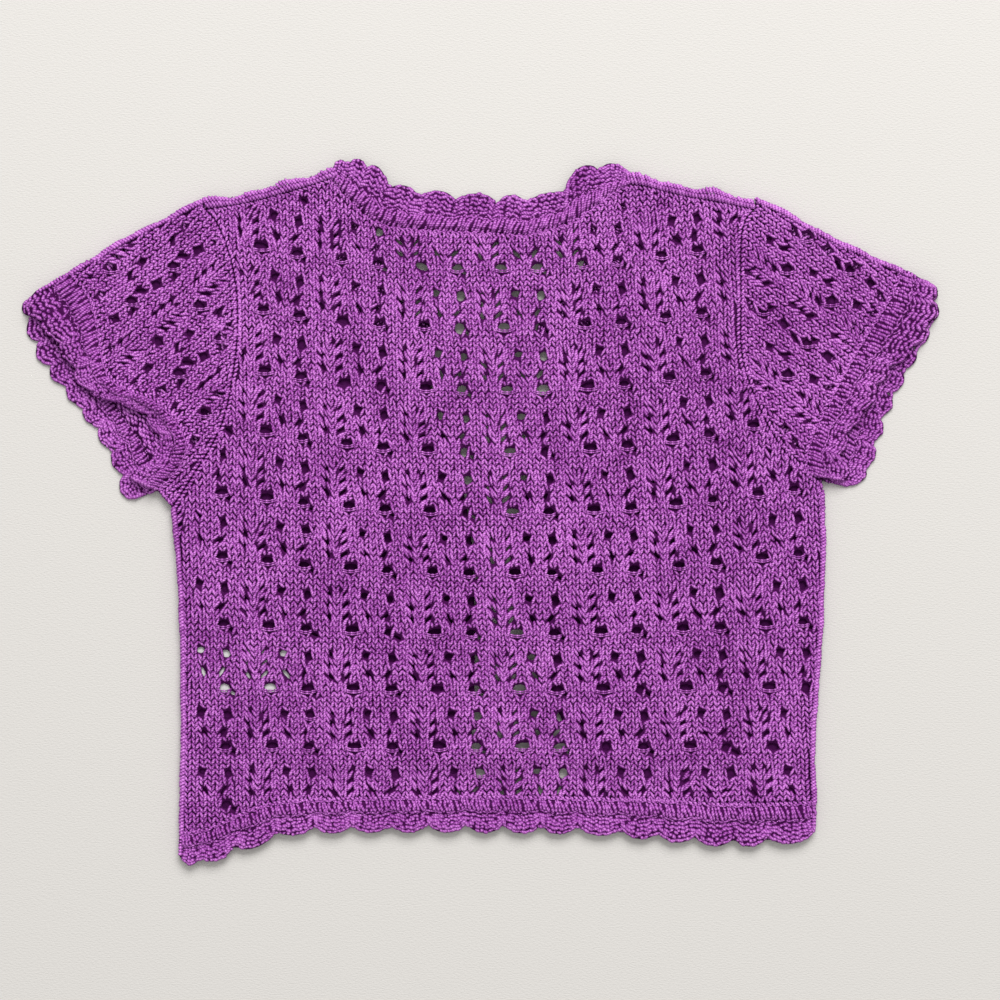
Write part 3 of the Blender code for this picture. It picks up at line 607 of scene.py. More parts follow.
def pushed(points, eyelets):
    """The points moved out of the eyelets, and each point's least share of an eyelet's radius before that."""
    moved = points.copy()
    least = np.full(len(points), np.inf)
    for x, y, wide, tall, turn, _ in eyelets:
        half = np.array((wide, tall)) + YARN_PUSH
        near = np.flatnonzero((np.abs(moved - (x, y)) < PUSH_REACH * half.max()).all(1))
        if not len(near):
            continue
        cos, sin = math.cos(turn), math.sin(turn)
        spin = np.array(((cos, sin), (-sin, cos)))
        local = (moved[near] - (x, y)) @ spin.T / half
        radius = np.maximum(np.linalg.norm(local, axis=1), 1e-3)
        least[near] = np.minimum(least[near], radius)
        share = smooth((PUSH_REACH - radius) / PUSH_EASE)
        grown = (radius**PUSH_POWER + 1) ** (1 / PUSH_POWER) * share + radius * (1 - share)
        moved[near] = (local * (grown / radius)[:, None] * half) @ spin + (x, y)
    return moved, least


def slants(points, eyelets):
    """The direction in which slanted eyelets draw the yarn at each point, its share, and its side."""
    share = np.zeros(len(points))
    drawn = np.zeros(points.shape)
    side = np.zeros(len(points))
    for x, y, _, _, turn, slant in eyelets[eyelets[:, 5] != 0]:
        near = np.flatnonzero((np.abs(points - (x, y)) < SLANT_REACH).all(1))
        pull = smooth(SLANT_PULL * (1 - np.linalg.norm(points[near] - (x, y), axis=1) / SLANT_REACH))
        stronger = pull > share[near]
        near, pull = near[stronger], pull[stronger]
        share[near] = pull
        drawn[near] = (-math.sin(turn), math.cos(turn))
        side[near] = -slant
    return drawn, share, side


# ======== Where a panel's plan lies: depth is measured inwards from the outer face ========
def on_top(points, depth):
    """The upper layer, its outer face upwards."""
    x, y = points[:, 0], points[:, 1]
    return np.stack((x, y, UPPER + folds(x, y) + WALL - depth), -1)


def on_floor(points, depth):
    """The lower layer, its outer face down."""
    return np.stack((points[:, 0], points[:, 1], np.broadcast_to(depth, len(points)).astype(float)), -1)


def over_shoulder(fold):
    """The lower layer, turned over at the fold, a run of points from left to right."""

    def place(points, depth):
        x, y = points[:, 0], points[:, 1]
        fold_y = np.interp(x, fold[:, 0], fold[:, 1])
        beyond = np.maximum(y - fold_y, 0)
        within = (x > fold[0, 0] - LAP_EASE) & (x < fold[-1, 0] + LAP_EASE)
        beyond = np.where(within, beyond, 0)
        radius = FOLD_OUTER - depth
        turn = np.minimum(beyond / FOLD_MIDDLE, math.pi)
        back = np.maximum(beyond - math.pi * FOLD_MIDDLE, 0)
        turned_y = fold_y + radius * np.sin(turn) - back
        return np.stack((x, np.where(beyond > 0, turned_y, y), FOLD_OUTER - radius * np.cos(turn)), -1)

    return place


# ======== Meshes ========
def new_piece(name, mesh, material):
    """An object that rides on the garment."""
    mesh.materials.append(material)
    piece = bpy.data.objects.new(name, mesh)
    bpy.context.scene.collection.objects.link(piece)
    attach(piece, BODY)
    return piece


def cut_plan(loop, rings, creases=()):
    """A flat mesh of a panel with its eyelets left out."""
    low, high = loop.min(0), loop.max(0)
    rows = enumerate(np.arange(low[1], high[1], PLAIN_SPACING))
    across = np.arange(low[0], high[0], PLAIN_SPACING)
    grid = np.array([(x + PLAIN_SPACING / 2 * (place % 2), y) for place, y in rows for x in across])
    grid = grid[is_inside(loop, grid)]
    keep = distance_to(loop, grid) > PLAIN_CLEARANCE
    for ring in rings:
        middle = ring.mean(0)
        keep &= np.linalg.norm(grid - middle, axis=1) > PLAIN_CLEARANCE + np.ptp(ring, axis=0).max() / 2
    for crease in creases:
        for point in crease:
            keep &= np.linalg.norm(grid - point, axis=1) > PLAIN_CLEARANCE
    points = [loop, *rings, *creases, grid[keep]]
    edges = []
    first = 0
    for place, run in enumerate(points[:-1]):
        closed = place <= len(rings)
        edges += [(first + step, first + step + 1) for step in range(len(run) - 1)]
        if closed:
            edges.append((first + len(run) - 1, first))
        first += len(run)
    places, _, faces, *_ = delaunay_2d_cdt([Vector(point) for point in np.vstack(points)], edges, [], 2, 1e-5)
    places = np.array([tuple(place) for place in places])
    middles = np.array([places[face].mean(0) for face in faces])
    kept = is_inside(loop, middles)
    for ring in rings:
        near = np.flatnonzero(np.abs(middles - ring.mean(0)).max(1) < EYELET_NEAR)
        kept[near] &= ~is_inside(ring, middles[near])
    plan = bmesh.new()
    verts = [plan.verts.new((*place, 0)) for place in places]
    for face, is_kept in zip(faces, kept):
        if is_kept:
            plan.faces.new([verts[corner] for corner in face])
    loose = [vert for vert in verts if not vert.link_faces]
    bmesh.ops.delete(plan, geom=loose, context="VERTS")
    return plan


def close_wall(plan, place, outer, inner):
    """Turn a flat plan into a closed shell between two depths."""
    inside = plan.verts[:]
    made = bmesh.ops.extrude_face_region(plan, geom=plan.faces[:])["geom"]
    outside = [item for item in made if isinstance(item, bmesh.types.BMVert)]
    for verts, depth in ((inside, inner), (outside, outer)):
        points = place(np.array([vert.co[:2] for vert in verts]), depth)
        for vert, point in zip(verts, points):
            vert.co = point * MM
    bmesh.ops.recalc_face_normals(plan, faces=plan.faces[:])
    mesh = bpy.data.meshes.new("shell")
    plan.to_mesh(mesh)
    plan.free()
    mesh.shade_smooth()
    return mesh


def unit_yarn(around, lengthways):
    """A short length of yarn as a closed spindle: its points, with z along it from -1 to 1, and its faces."""
    made = bmesh.new()
    bmesh.ops.create_uvsphere(made, u_segments=around, v_segments=lengthways, radius=1)
    bmesh.ops.triangulate(made, faces=made.faces[:])
    points = np.array([vert.co for vert in made.verts])
    faces = np.array([[vert.index for vert in face.verts] for face in made.faces])
    made.free()
    return points, faces


def lay_yarn(name, feet, heads, outwards, thickness, tones, around=4, lengthways=4, end_shade=END_SHADE):
    """Many short lengths of yarn as one mesh, each from its foot to its head and bulging outwards."""
    points, faces = unit_yarn(around, lengthways)
    count = len(feet)
    forward = heads - feet
    length = np.linalg.norm(forward, axis=1, keepdims=True)
    side = np.cross(forward, outwards)
    side /= np.maximum(np.linalg.norm(side, axis=1, keepdims=True), 1e-9)
    up = np.cross(side, forward)
    up /= np.maximum(np.linalg.norm(up, axis=1, keepdims=True), 1e-9)
    across, over, lengthwise = points[None, :, 0:1], points[None, :, 1:2], points[None, :, 2:3]
    radius = np.reshape(thickness, (-1, 1, 1)) / 2
    middle = (feet + heads)[:, None] / 2 + forward[:, None] * lengthwise * YARN_REACH
    bulge = YARN_ARCH * (1 - lengthwise**2)
    placed = middle + side[:, None] * across * radius + up[:, None] * (over * radius * YARN_FLAT + bulge)
    placed[..., 2] = np.maximum(placed[..., 2], 0)
    every = (faces[None] + (np.arange(count) * len(points))[:, None, None]).reshape(-1, 3)
    mesh = bpy.data.meshes.new(name)
    mesh.vertices.add(count * len(points))
    mesh.vertices.foreach_set("co", (placed * MM).astype(np.float32).ravel())
    mesh.loops.add(every.size)
    mesh.loops.foreach_set("vertex_index", every.astype(np.int32).ravel())
    mesh.polygons.add(len(every))
    mesh.polygons.foreach_set("loop_start", np.arange(0, every.size, 3, dtype=np.int32))
    mesh.update(calc_edges=True)
    mesh.shade_smooth()
    paint_attribute(mesh, "tone", np.repeat(tones, len(points)))
    # Painted light and shade: lightest on each leg's outward crest, darker down its sides, underneath and at
    # its ends
    painted_shading = SIDE_CREST + (1 - SIDE_CREST) * over[0, :, 0] / np.abs(over).max()
    painted_shading = np.clip(painted_shading * (1 - end_shade * lengthwise[0, :, 0] ** 2), 0, 1)
    paint_attribute(mesh, "painted_shading", np.tile(painted_shading, count))
    corners = points[faces.ravel()]
    along_it = np.tile(corners[:, 2] * 0.5 + 0.5, count)
    around_it = np.tile(np.arctan2(corners[:, 1], corners[:, 0]) / math.tau, count)
    size = np.repeat(length[:, 0], faces.size)
    paint_map(mesh, "Yarn", np.stack((along_it * size, around_it), -1))
    paint_bake_map(mesh, placed, every)
    return mesh


def paint_attribute(mesh, name, values):
    """A number for each point."""
    made = mesh.attributes.new(name, "FLOAT", "POINT")
    made.data.foreach_set("value", np.asarray(values, np.float32))


def paint_map(mesh, name, places):
    """A UV map from one place for each corner."""
    made = mesh.uv_layers.new(name=name, do_init=False)
    made.uv.foreach_set("vector", np.asarray(places, np.float32).ravel())


def paint_bake_map(mesh, placed, every):
    """A map seen from above, with the faces that look down beside those that look up."""
    flat = placed.reshape(-1, 3)
    low = flat[:, :2].min(0)
    span = np.ptp(flat[:, :2], axis=0)
    corners = flat[every]
    normals = np.cross(corners[:, 1] - corners[:, 0], corners[:, 2] - corners[:, 0])
    places = (corners[:, :, :2] - low) / span
    places[:, :, 0] = places[:, :, 0] * 0.5 + np.where(normals[:, 2] < 0, 0.5, 0.0)[:, None]
    paint_map(mesh, "OFBake", places.reshape(-1, 2))


# ======== Knitting ========
class Knitting:
    """The yarn of one panel, leg by leg, in the plan's plane."""

    def __init__(self, lattice, columns, rows, loop, eyelets, sizes, seed):
        wales, courses = sizes.wales, sizes.courses
        self.yarn = sizes.yarn / MM
        self.dice = np.random.default_rng(seed)
        column, row = np.meshgrid(
            np.arange(columns[0] * wales, columns[1] * wales + 1) / wales,
            np.arange(rows[0] * courses, rows[1] * courses + 1) / courses,
        )
        column, row = column.ravel(), row.ravel()
        middles = lattice(column, row)
        kept = is_inside(loop, middles)
        column, row = column[kept], row[kept]
        edge = distance_to(loop, middles[kept])
        kept = edge > self.yarn * LEAST_EDGE
        column, row, edge = column[kept], row[kept], edge[kept]
        feet, heads = [], []
        for side in (-1, 1):
            feet.append(lattice(column + side * FOOT_ACROSS / wales, row + FOOT_DOWN / courses))
            heads.append(lattice(column + side * HEAD_ACROSS / wales, row - HEAD_UP / courses))
        feet, heads, edge = np.vstack(feet), np.vstack(heads), np.tile(edge, 2)
        side = np.repeat((-1, 1), len(column))
        nominal = np.linalg.norm(heads - feet, axis=1)
        _, least = pushed((feet + heads) / 2, eyelets)
        upright = eyelets[eyelets[:, 5] == 0]
        feet, heads = (pushed(ends, upright)[0] for ends in (feet, heads))
        stretch = np.linalg.norm(heads - feet, axis=1) / nominal
        middle, _ = pushed((feet + heads) / 2, eyelets[eyelets[:, 5] != 0])
        half = (heads - feet) / 2
        drawn, share, drawn_side = slants(middle, eyelets)
        length = np.linalg.norm(half, axis=1)
        reach = length * (1 + SLANT_STRETCH * share)
        half = half / length[:, None] * (1 - share[:, None]) + drawn * share[:, None]
        half *= (reach / np.linalg.norm(half, axis=1))[:, None]
        hidden = (share > SLANT_STOPS) & (side != drawn_side) & (self.dice.random(len(side)) < SLANT_HIDES)
        kept = (least > LEAST_RADIUS) & (stretch < MOST_STRETCH) & ~hidden
        middle, half, self.edge = self.uneven(middle[kept]), half[kept], edge[kept]
        half += self.dice.normal(0, JITTER, half.shape)
        self.feet, self.heads = middle - half, middle + half
        self.rim = np.exp(-(((least[kept] - 1) / RIM_WIDTH) ** 2)) * RIM_SINK
        unevenness = self.dice.normal(0, UNEVEN_THICKNESS, kept.sum())
        self.thick = self.yarn * (1 + unevenness + share[kept] * SLANT_SWELL)
        self.add_bars(eyelets)
        self.add_selvedge(loop)
        self.tones = self.dice.random(len(self.feet))

    def uneven(self, ends):
        """Places of the yarn, each a little out of its own, and all of them swaying."""
        sway, lengths, starts = (np.array(value) for value in WAVES)
        wave = np.sin(ends[:, ::-1] / lengths + starts)
        slow_sway, lengths, crosswise = (np.array(value) for value in SLOW_WAVES)
        slow = np.sin(ends / lengths + ends[:, ::-1] / crosswise)
        return ends + wave * sway + slow * slow_sway + self.dice.normal(0, JITTER, ends.shape)

    def add(self, feet, heads, edge, thick):
        """More legs of one thickness, as deep as those that far from the panel's edge."""
        count = len(feet)
        self.feet, self.heads = np.vstack((self.feet, feet)), np.vstack((self.heads, heads))
        self.edge = np.concatenate((self.edge, np.full(count, edge)))
        self.rim = np.concatenate((self.rim, np.zeros(count)))
        self.thick = np.concatenate((self.thick, np.full(count, thick)))

    def add_bars(self, eyelets):
        """The loose strands that cross under each wide eyelet."""
        wide = eyelets[(eyelets[:, 2:4] > WIDE_EYELET).all(1)]
        shares = np.linspace(-1, 1, BAR_STEPS + 1)
        for drop in BAR_DROPS:
            reach = wide[:, 2] + BAR_PAST
            x = wide[:, 0, None] + reach[:, None] * shares
            sag = (1 - shares**2) * BAR_SAG
            y = wide[:, 1, None] - wide[:, 3, None] * BAR_PLACE - drop - sag
            ends = np.stack((x, y), -1)
            self.add(ends[:, :-1].reshape(-1, 2), ends[:, 1:].reshape(-1, 2), BAR_RAISE, BAR_THICKNESS)

    def add_selvedge(self, loop):
        """A column of slanted legs all along the panel's edge."""
        inner, outer = (shrunk(loop, by) for by in SELVEDGE)
        inner, outer = np.vstack((inner, inner[:1])), np.vstack((outer, outer[:1]))
        lengths = lengths_along(outer)
        count = round(lengths[-1] / SELVEDGE_PITCH)
        wanted = np.arange(count) / count * lengths[-1]
        feet = np.stack([np.interp(wanted, lengths, inner[:, axis]) for axis in range(2)], -1)
        ahead = np.minimum(wanted + SELVEDGE_LEAD, lengths[-1])
        heads = np.stack([np.interp(ahead, lengths, outer[:, axis]) for axis in range(2)], -1)
        self.add(feet + self.dice.normal(0, JITTER, feet.shape), heads, SELVEDGE[0], self.yarn)

    def sink(self):
        """How much deeper the yarn lies beside a seam, and how much higher next to that."""
        ridge = np.exp(-(((self.edge - SEAM_RIDGE_AT) / SEAM_RIDGE_WIDTH) ** 2))
        return SEAM_SINK * np.exp(-((self.edge / SEAM_SINK_WIDTH) ** 2)) - SEAM_RIDGE * ridge

    def legs(self, place, chosen):
        """Feet, heads, outward directions, thicknesses and tones of the chosen legs, in space."""
        depth = YARN_DEPTH + self.sink()[chosen] + self.rim[chosen]
        feet = place(self.feet[chosen], depth + FOOT_TUCK)
        heads = place(self.heads[chosen], depth)
        outwards = place(self.feet[chosen], depth - 1.0) - feet
        return feet, heads, outwards, self.thick[chosen], self.tones[chosen]


def wrapped(run, profile, pitch, lean, thickness, swell, seed):
    """Bars of yarn that wrap round an edge: feet, heads, outward directions, thicknesses and tones.

    The profile's points are how far outwards, to the right of the run, and how high each bend of a bar is.
    """
    dice = np.random.default_rng(seed)
    length = lengths_along(run)[-1]
    count = max(2, round(length / pitch))
    shares = (np.arange(count) + 0.5) / count
    wave = 1 + swell * np.sin(shares * length / SWELL_LENGTH + seed) * np.sin(shares * length / LONG_SWELL)
    wave += dice.normal(0, UNEVEN_SWELL, count)
    first = profile[0][0]
    bends = []
    for place, (out, height) in enumerate(profile):
        at = np.clip(shares + lean * (place - (len(profile) - 1) / 2) / length, 0, 1)
        middle = along(run, at)
        ahead = along(run, np.minimum(at + NEARBY, 1)) - along(run, np.maximum(at - NEARBY, 0))
        ahead /= np.linalg.norm(ahead, axis=1, keepdims=True)
        outwards = np.stack((ahead[:, 1], -ahead[:, 0]), -1)
        flat = middle + outwards * (first + (out - first) * wave)[:, None]
        rise = (wave - 1) * SWELL_RISE + folds(flat[:, 0], flat[:, 1])
        bends.append(np.column_stack((flat, height + rise)))
    feet, heads = np.vstack(bends[:-1]), np.vstack(bends[1:])
    inside = np.tile(along(run, shares), (len(profile) - 1, 1))
    inside = np.column_stack((inside, np.full(len(feet), UPPER / 2)))
    outwards = (feet + heads) / 2 - inside
    outwards /= np.linalg.norm(outwards, axis=1, keepdims=True)
    thick = thickness * (1 + dice.normal(0, UNEVEN_BAR, len(feet)))
    return feet, heads, outwards, thick, dice.random(len(feet))


def knit_panel(
    node, loop, place, lattice, columns, rows, seed,
    flower_shift=0.0, is_body=False, cover=None, creases=(), bands=1, form=None, rims=(),
):
    """A panel: its perforated ground and its yarn, which stand for the CAD node.

    Its yarn is one piece or several bands. A cover is the outline of what lies on it: eyelets are cut
    only under that, and where it ends the bumps of the purl side show. The rims are runs of wrapped bars.
    """
    sizes = bpy.context.scene.cardigan_sizes
    finishes = shared_finishes()
    flowers = np.arange(columns[0], columns[1] + 1) + flower_shift
    chart = CHART if place is on_top else PLAIN_CHART
    eyelets = lace_eyelets(lattice, flowers, range(rows[0], rows[1] + 1), loop, is_body, chart)
    if cover is not None:
        eyelets = eyelets[is_inside(cover, eyelets[:, :2])]
    mesh = close_wall(cut_plan(loop, eyelet_rings(eyelets), creases), place, GROUND_DEPTH, WALL)
    ground = new_piece(node + "_ground", mesh, finishes["ground"])

    def add_yarn(ending, legs, **shape):
        """One more piece of yarn on the panel."""
        mesh = lay_yarn(node + ending, *legs, **shape)
        new_piece(node + ending, mesh, finishes["yarn"])

    knitting = Knitting(lattice, columns, rows, loop, eyelets, sizes, seed)
    heights = (knitting.feet[:, 1] + knitting.heads[:, 1]) / 2
    limits = np.quantile(heights, np.linspace(0, 1, bands + 1))
    limits[0] -= 1
    for band in range(bands):
        chosen = (heights > limits[band]) & (heights <= limits[band + 1])
        ending = "_yarn" if bands == 1 else f"_yarn_{band + 1}"
        add_yarn(ending, knitting.legs(place, chosen), **(form or {}))
    for number, (run, profile, swell) in enumerate(rims):
        bars = wrapped(run, profile, ROLL_PITCH, ROLL_LEAN, ROLL_YARN, swell, seed + number)
        add_yarn(f"_rim_{number + 1}", bars, end_shade=ROLL_SHADE)
    if cover is not None:
        add_yarn("_purl", purl_bumps(lattice, columns, rows, loop, cover, sizes, seed))
    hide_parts(node)
    area = abs(signed_area(loop)) * MM * MM


def purl_bumps(lattice, columns, rows, loop, cover, sizes, seed):
    """The bumps of the purl side on the lower layer's inner face, where a cuff's mouth shows it."""
    dice = np.random.default_rng(seed)
    wales, courses = sizes.wales, sizes.courses * 2
    wale, course = np.meshgrid(
        np.arange(columns[0] * wales, columns[1] * wales), np.arange(rows[0] * courses, rows[1] * courses)
    )
    column = ((wale + course % 2 / 2) / wales).ravel()
    row = (course / courses).ravel()
    middles = lattice(column, row)
    shown = ~is_inside(cover, middles) | (distance_to(cover, middles) < PURL_UNDER)
    kept = shown & is_inside(loop, middles) & (distance_to(loop, middles) > PURL_EDGE)
    column, row = column[kept], row[kept]
    ends = []
    for side in (-PURL_REACH, PURL_REACH):
        flat = lattice(column + side / wales, row) + dice.normal(0, JITTER * PURL_JITTER, (len(row), 2))
        ends.append(np.column_stack((flat, WALL + dice.normal(*PURL_RISE, len(row)))))
    outwards = np.broadcast_to((0.0, 0.0, 1.0), ends[0].shape)
    thick = sizes.yarn / MM * PURL_THICKNESS * (1 + dice.normal(0, UNEVEN_THICKNESS, len(row)))
    return ends[0], ends[1], outwards, thick, dice.random(len(row))


# ======== Crochet edgings ========
class Edging:
    """An edging between its seam and its brim: s goes along it and v across it, both from 0 to 1.

    Its scallops are given by their number, or by the x of the valleys between them.
    """

    def __init__(self, seam, brim, scallops, is_top, droop=None):
        self.seam, self.brim = dense_curve(seam), dense_curve(brim)
        self.valleys = None if isinstance(scallops, int) else scallops
        self.scallops = len(scallops) - 1 if self.valleys else scallops
        self.is_top = is_top
        self.droop = droop
        self.length = lengths_along(self.seam)[-1]
        section = np.array(EDGING_SECTION)
        self.places, self.thicknesses = section[:, 0], section[:, 1 if is_top else 2]

    def phase(self, s):
        """How many scallops lie before each place along the edging."""
        if self.valleys:
            return np.interp(along(self.brim, s)[:, 0], self.valleys, np.arange(len(self.valleys)))
        return self.scallops * s

    def gathered(self, s, v):
        """Places along the edging, drawn towards the middles of the roll's shells and of the scallops."""
        shells = math.tau * round(self.length / SHELL_WIDTH)
        shell = SHELL_GATHER * (1 - smooth(v / SHELL_END)) * np.sin(shells * s) / shells
        shell = shell + SHELL_LEAN * np.minimum(v / SHELL_END, 1) / self.length
        fan = SCALLOP_GATHER * smooth((v - SHELL_END) * FAN_START)
        fan = fan * (1 - smooth((v - FAN_END[0]) * FAN_END[1]))
        fan = fan * np.sin(math.tau * self.phase(s)) / (math.tau * self.scallops)
        return np.clip(s + shell + fan, 0, 1)

    def plan(self, s, v):
        """Places in the plane."""
        start, end = along(self.seam, s), along(self.brim, s)
        outwards = end - start
        outwards /= np.linalg.norm(outwards, axis=1, keepdims=True)
        swell = np.abs(np.sin(math.pi * self.phase(s))) ** SCALLOP_ROUND
        end = end + outwards * (SCALLOP_DEPTH * swell - SCALLOP_INSET)[:, None]
        start = start + outwards * SEAM_GAP
        return start + (end - start) * v[:, None]

    def place(self, s, v, depth):
        """Places in space, at a depth below the upper face; the lower face is at a depth of the thickness."""
        points = self.plan(s, v)
        x, y = points[:, 0], points[:, 1]
        base = np.zeros(len(x))
        if self.is_top:
            base = UPPER + folds(x, y)
        if self.droop:
            base = base - self.droop(x) * smooth(v)
        height = np.interp(v, self.places, self.thicknesses) - depth
        return np.stack((x, y, base + np.maximum(height, 0)), -1)

    def ground(self):
        """The closed shell that the crochet lies on, and its outline."""
        steps, rows = self.scallops * SCALLOP_STEPS, EDGING_ROWS_OF_GROUND
        plan = bmesh.new()
        bmesh.ops.create_grid(plan, x_segments=steps, y_segments=rows, size=0.5)
        bmesh.ops.translate(plan, vec=(0.5, 0.5, 0), verts=plan.verts)

        def place(points, depth):
            return self.place(points[:, 0], points[:, 1], depth)

        mesh = close_wall(plan, place, EDGING_GROUND, EDGING_UNDERSIDE)
        rim = np.linspace(0, 1, steps + 1)
        loop = joined(self.plan(rim, rim * 0), self.plan(rim[::-1], rim * 0 + 1))
        return mesh, loop

    def end(self, s, seed):
        """Bars that close the edging at one of its ends."""
        run = self.plan(np.full(END_POINTS, float(s)), np.linspace(0, 1, END_POINTS))
        inwards = self.plan(np.array((0.5,)), np.array((0.5,)))[0] - run[END_POINTS // 2]
        ahead = run[-1] - run[0]
        if ahead[1] * inwards[0] - ahead[0] * inwards[1] > 0:
            run = run[::-1]
        return wrapped(run, END_RIM, ROLL_PITCH, END_LEAN, ROLL_YARN, END_SWELL, seed)

    def stitches(self, seed):
        """Feet, heads, outward directions, thicknesses and tones of the crochet."""
        dice = np.random.default_rng(seed)
        feet, heads, thick = [], [], []
        depth = np.linalg.norm(self.brim.mean(0) - self.seam.mean(0)) + SCALLOP_INSET
        for middle, across, reach, pitch, thickness, rise, turns in EDGING_ROWS:
            count = round(self.length / pitch)
            s = (np.arange(count) + 0.5 + dice.normal(0, EDGING_SPREAD["along"], count)) / count
            side = np.where(np.arange(count) % 2, 1.0, -1.0) if turns else np.ones(count)
            half = reach / self.length * side * (1 + dice.normal(0, EDGING_SPREAD["reach"], count))
            v = middle + side * turns + dice.normal(0, EDGING_SPREAD["depth"], count)
            across = across / depth * (1 + dice.normal(0, EDGING_SPREAD["across"], count))
            rise = rise + dice.normal(0, EDGING_SPREAD["rise"], count)
            for ends, side in ((feet, -1), (heads, 1)):
                at = v + across * side
                ends.append(self.place(self.gathered(np.clip(s + half * side, 0, 1), at), at, 1.0 - rise))
            thick.append(thickness * (1 + dice.normal(0, EDGING_SPREAD["thick"], count)))
        feet, heads, thick = np.vstack(feet), np.vstack(heads), np.concatenate(thick)
        outwards = np.broadcast_to((0.0, 0.0, 1.0), feet.shape)
        return feet, heads, outwards, thick, dice.random(len(feet)) * EDGING_TONE


def neck_droop(x):
    """How far the neck's edging has come down at its brim."""
    return NECK_DROOP * (1 - smooth((np.abs(x) - DROOP_HALF_WIDTH) / DROOP_EASE + 1))


def crochet_edging(node, edging, seed, form):
    """An edging: its ground and its crochet, which stand for the CAD node."""
    finishes = shared_finishes()
    mesh, loop = edging.ground()
    ground = new_piece(node + "_ground", mesh, finishes["ground"])
    bars = edging.stitches(seed)
    if edging.is_top:
        bars = [np.concatenate(parts) for parts in zip(bars, edging.end(0, seed), edging.end(1, seed))]
    yarn = lay_yarn(node + "_yarn", *bars, end_shade=EDGING_SHADE, **form)
    piece = new_piece(node + "_yarn", yarn, finishes["yarn"])
    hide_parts(node)
    area = abs(signed_area(loop)) * MM * MM


# ======== Finishes ========
class Wire:
    """A node's socket that Python's operators work on."""

    def __init__(self, finish, socket):
        self.finish = finish
        self.socket = socket

    def reckon(self, operation, first, second):
        return self.finish.node("ShaderNodeMath", {"operation": operation}, {0: first, 1: second})

    def __add__(self, other):
        return self.reckon("ADD", self, other)

    def __sub__(self, other):
        return self.reckon("SUBTRACT", self, other)

    def __mul__(self, other):
        return self.reckon("MULTIPLY", self, other)

    __radd__ = __add__


class Finish:
    """A material, its nodes made one by one."""

    def __init__(self, name):
        self.material = bpy.data.materials.new(name)
        self.material.use_nodes = True
        self.tree = self.material.node_tree
        self.shader = self.tree.nodes["Principled BSDF"]

    def node(self, kind, settings, inputs, output=0):
        """A node of that type, with its settings and the values or links of its sockets."""
        made = self.tree.nodes.new(kind)
        for name, value in settings.items():
            setattr(made, name, value)
        for name, value in inputs.items():
            self.plug(made.inputs[name], value)
        return Wire(self, made.outputs[output])

    def plug(self, socket, value):
        """Link a wire to the socket, or set its value."""
        if isinstance(value, Wire):
            self.tree.links.new(value.socket, socket)
        else:
            socket.default_value = value

    def mix(self, first, second, share):
        """Two colours mixed by a share."""
        return self.node("ShaderNodeMix", {"data_type": "RGBA"}, {0: share, 6: first, 7: second}, 2)

    def attribute(self, name):
        return self.node("ShaderNodeAttribute", {"attribute_name": name}, {}, 2)

    def noise(self, scale, detail=2.0):
        """Noise on the piece's own coordinates, with a scale in waves per metre."""
        inputs = {"Vector": self.places(), "Scale": scale, "Detail": detail}
        return self.node("ShaderNodeTexNoise", {}, inputs)

    def places(self):
        """The piece's own coordinates, in metres."""
        return self.node("ShaderNodeTexCoord", {}, {}, 3)

    def bump(self, height, distance, strength=1.0):
        """A bump that feeds the shader's normal."""
        made = self.node("ShaderNodeBump", {}, {"Height": height, "Distance": distance, "Strength": strength})
        self.plug(self.shader.inputs["Normal"], made)

    def set(self, **values):
        """Values or links of the shader's sockets, by name with spaces as underscores."""
        for name, value in values.items():
            self.plug(self.shader.inputs[name.replace("_", " ")], value)


def rgba(colour):
    return (*colour, 1.0)


def scaled(colour, share):
    return tuple(value * share for value in colour)


def yarn_finish(name, colours):
    """Two-ply mercerised cotton: a painted highlight on each leg's crest, painted shade where it tucks under.
    """
    finish = Finish(name)
    tone = finish.attribute("tone")
    painted_shading = finish.attribute("painted_shading")
    patches = finish.noise(PATCH_WAVES, 3.0)
    fibres = finish.noise(FIBRE_WAVES, 2.0)
    places = finish.node("ShaderNodeUVMap", {"uv_map": "Yarn"}, {})
    along_it = finish.node("ShaderNodeSeparateXYZ", {}, {0: places}, 0)
    around_it = finish.node("ShaderNodeSeparateXYZ", {}, {0: places}, 1)
    # Painted glints and shade along the ply's twist, which also feeds the bump
    turns = along_it * PLY_PER_MM + around_it * (2 * math.tau)
    ply = finish.node("ShaderNodeMath", {"operation": "SINE"}, {0: turns})
    shade = painted_shading * (SHADE_BASE + tone * SHADE_TONE + ply * SHADE_PLY)
    shade = shade + (patches - 0.5) * SHADE_PATCHES + (fibres - 0.5) * SHADE_FIBRES
    shade_colour, middle, light = (rgba(colour) for colour in (colours.yarn_shade, colours.yarn, colours.yarn_light))
    colour = finish.mix(shade_colour, middle, shade * 2.0)
    colour = finish.mix(colour, light, (shade - 0.50) * 2.0)
    finish.set(Base_Color=colour, Roughness=0.5 + tone * 0.12, Sheen_Weight=0.03, Sheen_Roughness=0.4)
    finish.set(Sheen_Tint=rgba((0.95, 0.5, 1.0)), Specular_IOR_Level=0.22)
    finish.bump(ply * 0.7 + fibres * 0.3, 0.0004, 0.7)
    return finish.material


def ground_shade_finish(name, colours):
    """The yarn between and behind the legs, painted dark as the shade that falls there."""
    finish = Finish(name)
    speckle = finish.noise(700.0, 2.0)
    shade_colour = rgba(scaled(colours.yarn_shade, GROUND_SHADE_SHARE))
    middle = rgba(scaled(colours.yarn, GROUND_MIDDLE))
    finish.set(Base_Color=finish.mix(shade_colour, middle, speckle), Roughness=1.0, Specular_IOR_Level=0.0)
    finish.bump(speckle, 0.0008, 0.7)
    return finish.material


def shared_finishes():
    """The finishes that several pieces share, made once."""
    colours = bpy.context.scene.cardigan_colours
    made = {}
    # The ground's finish is painted shade between and behind the legs
    for key, maker in (("yarn", yarn_finish), ("ground", ground_shade_finish)):
        name = "cotton_" + key
        made[key] = bpy.data.materials.get(name) or maker(name, colours)
    return made


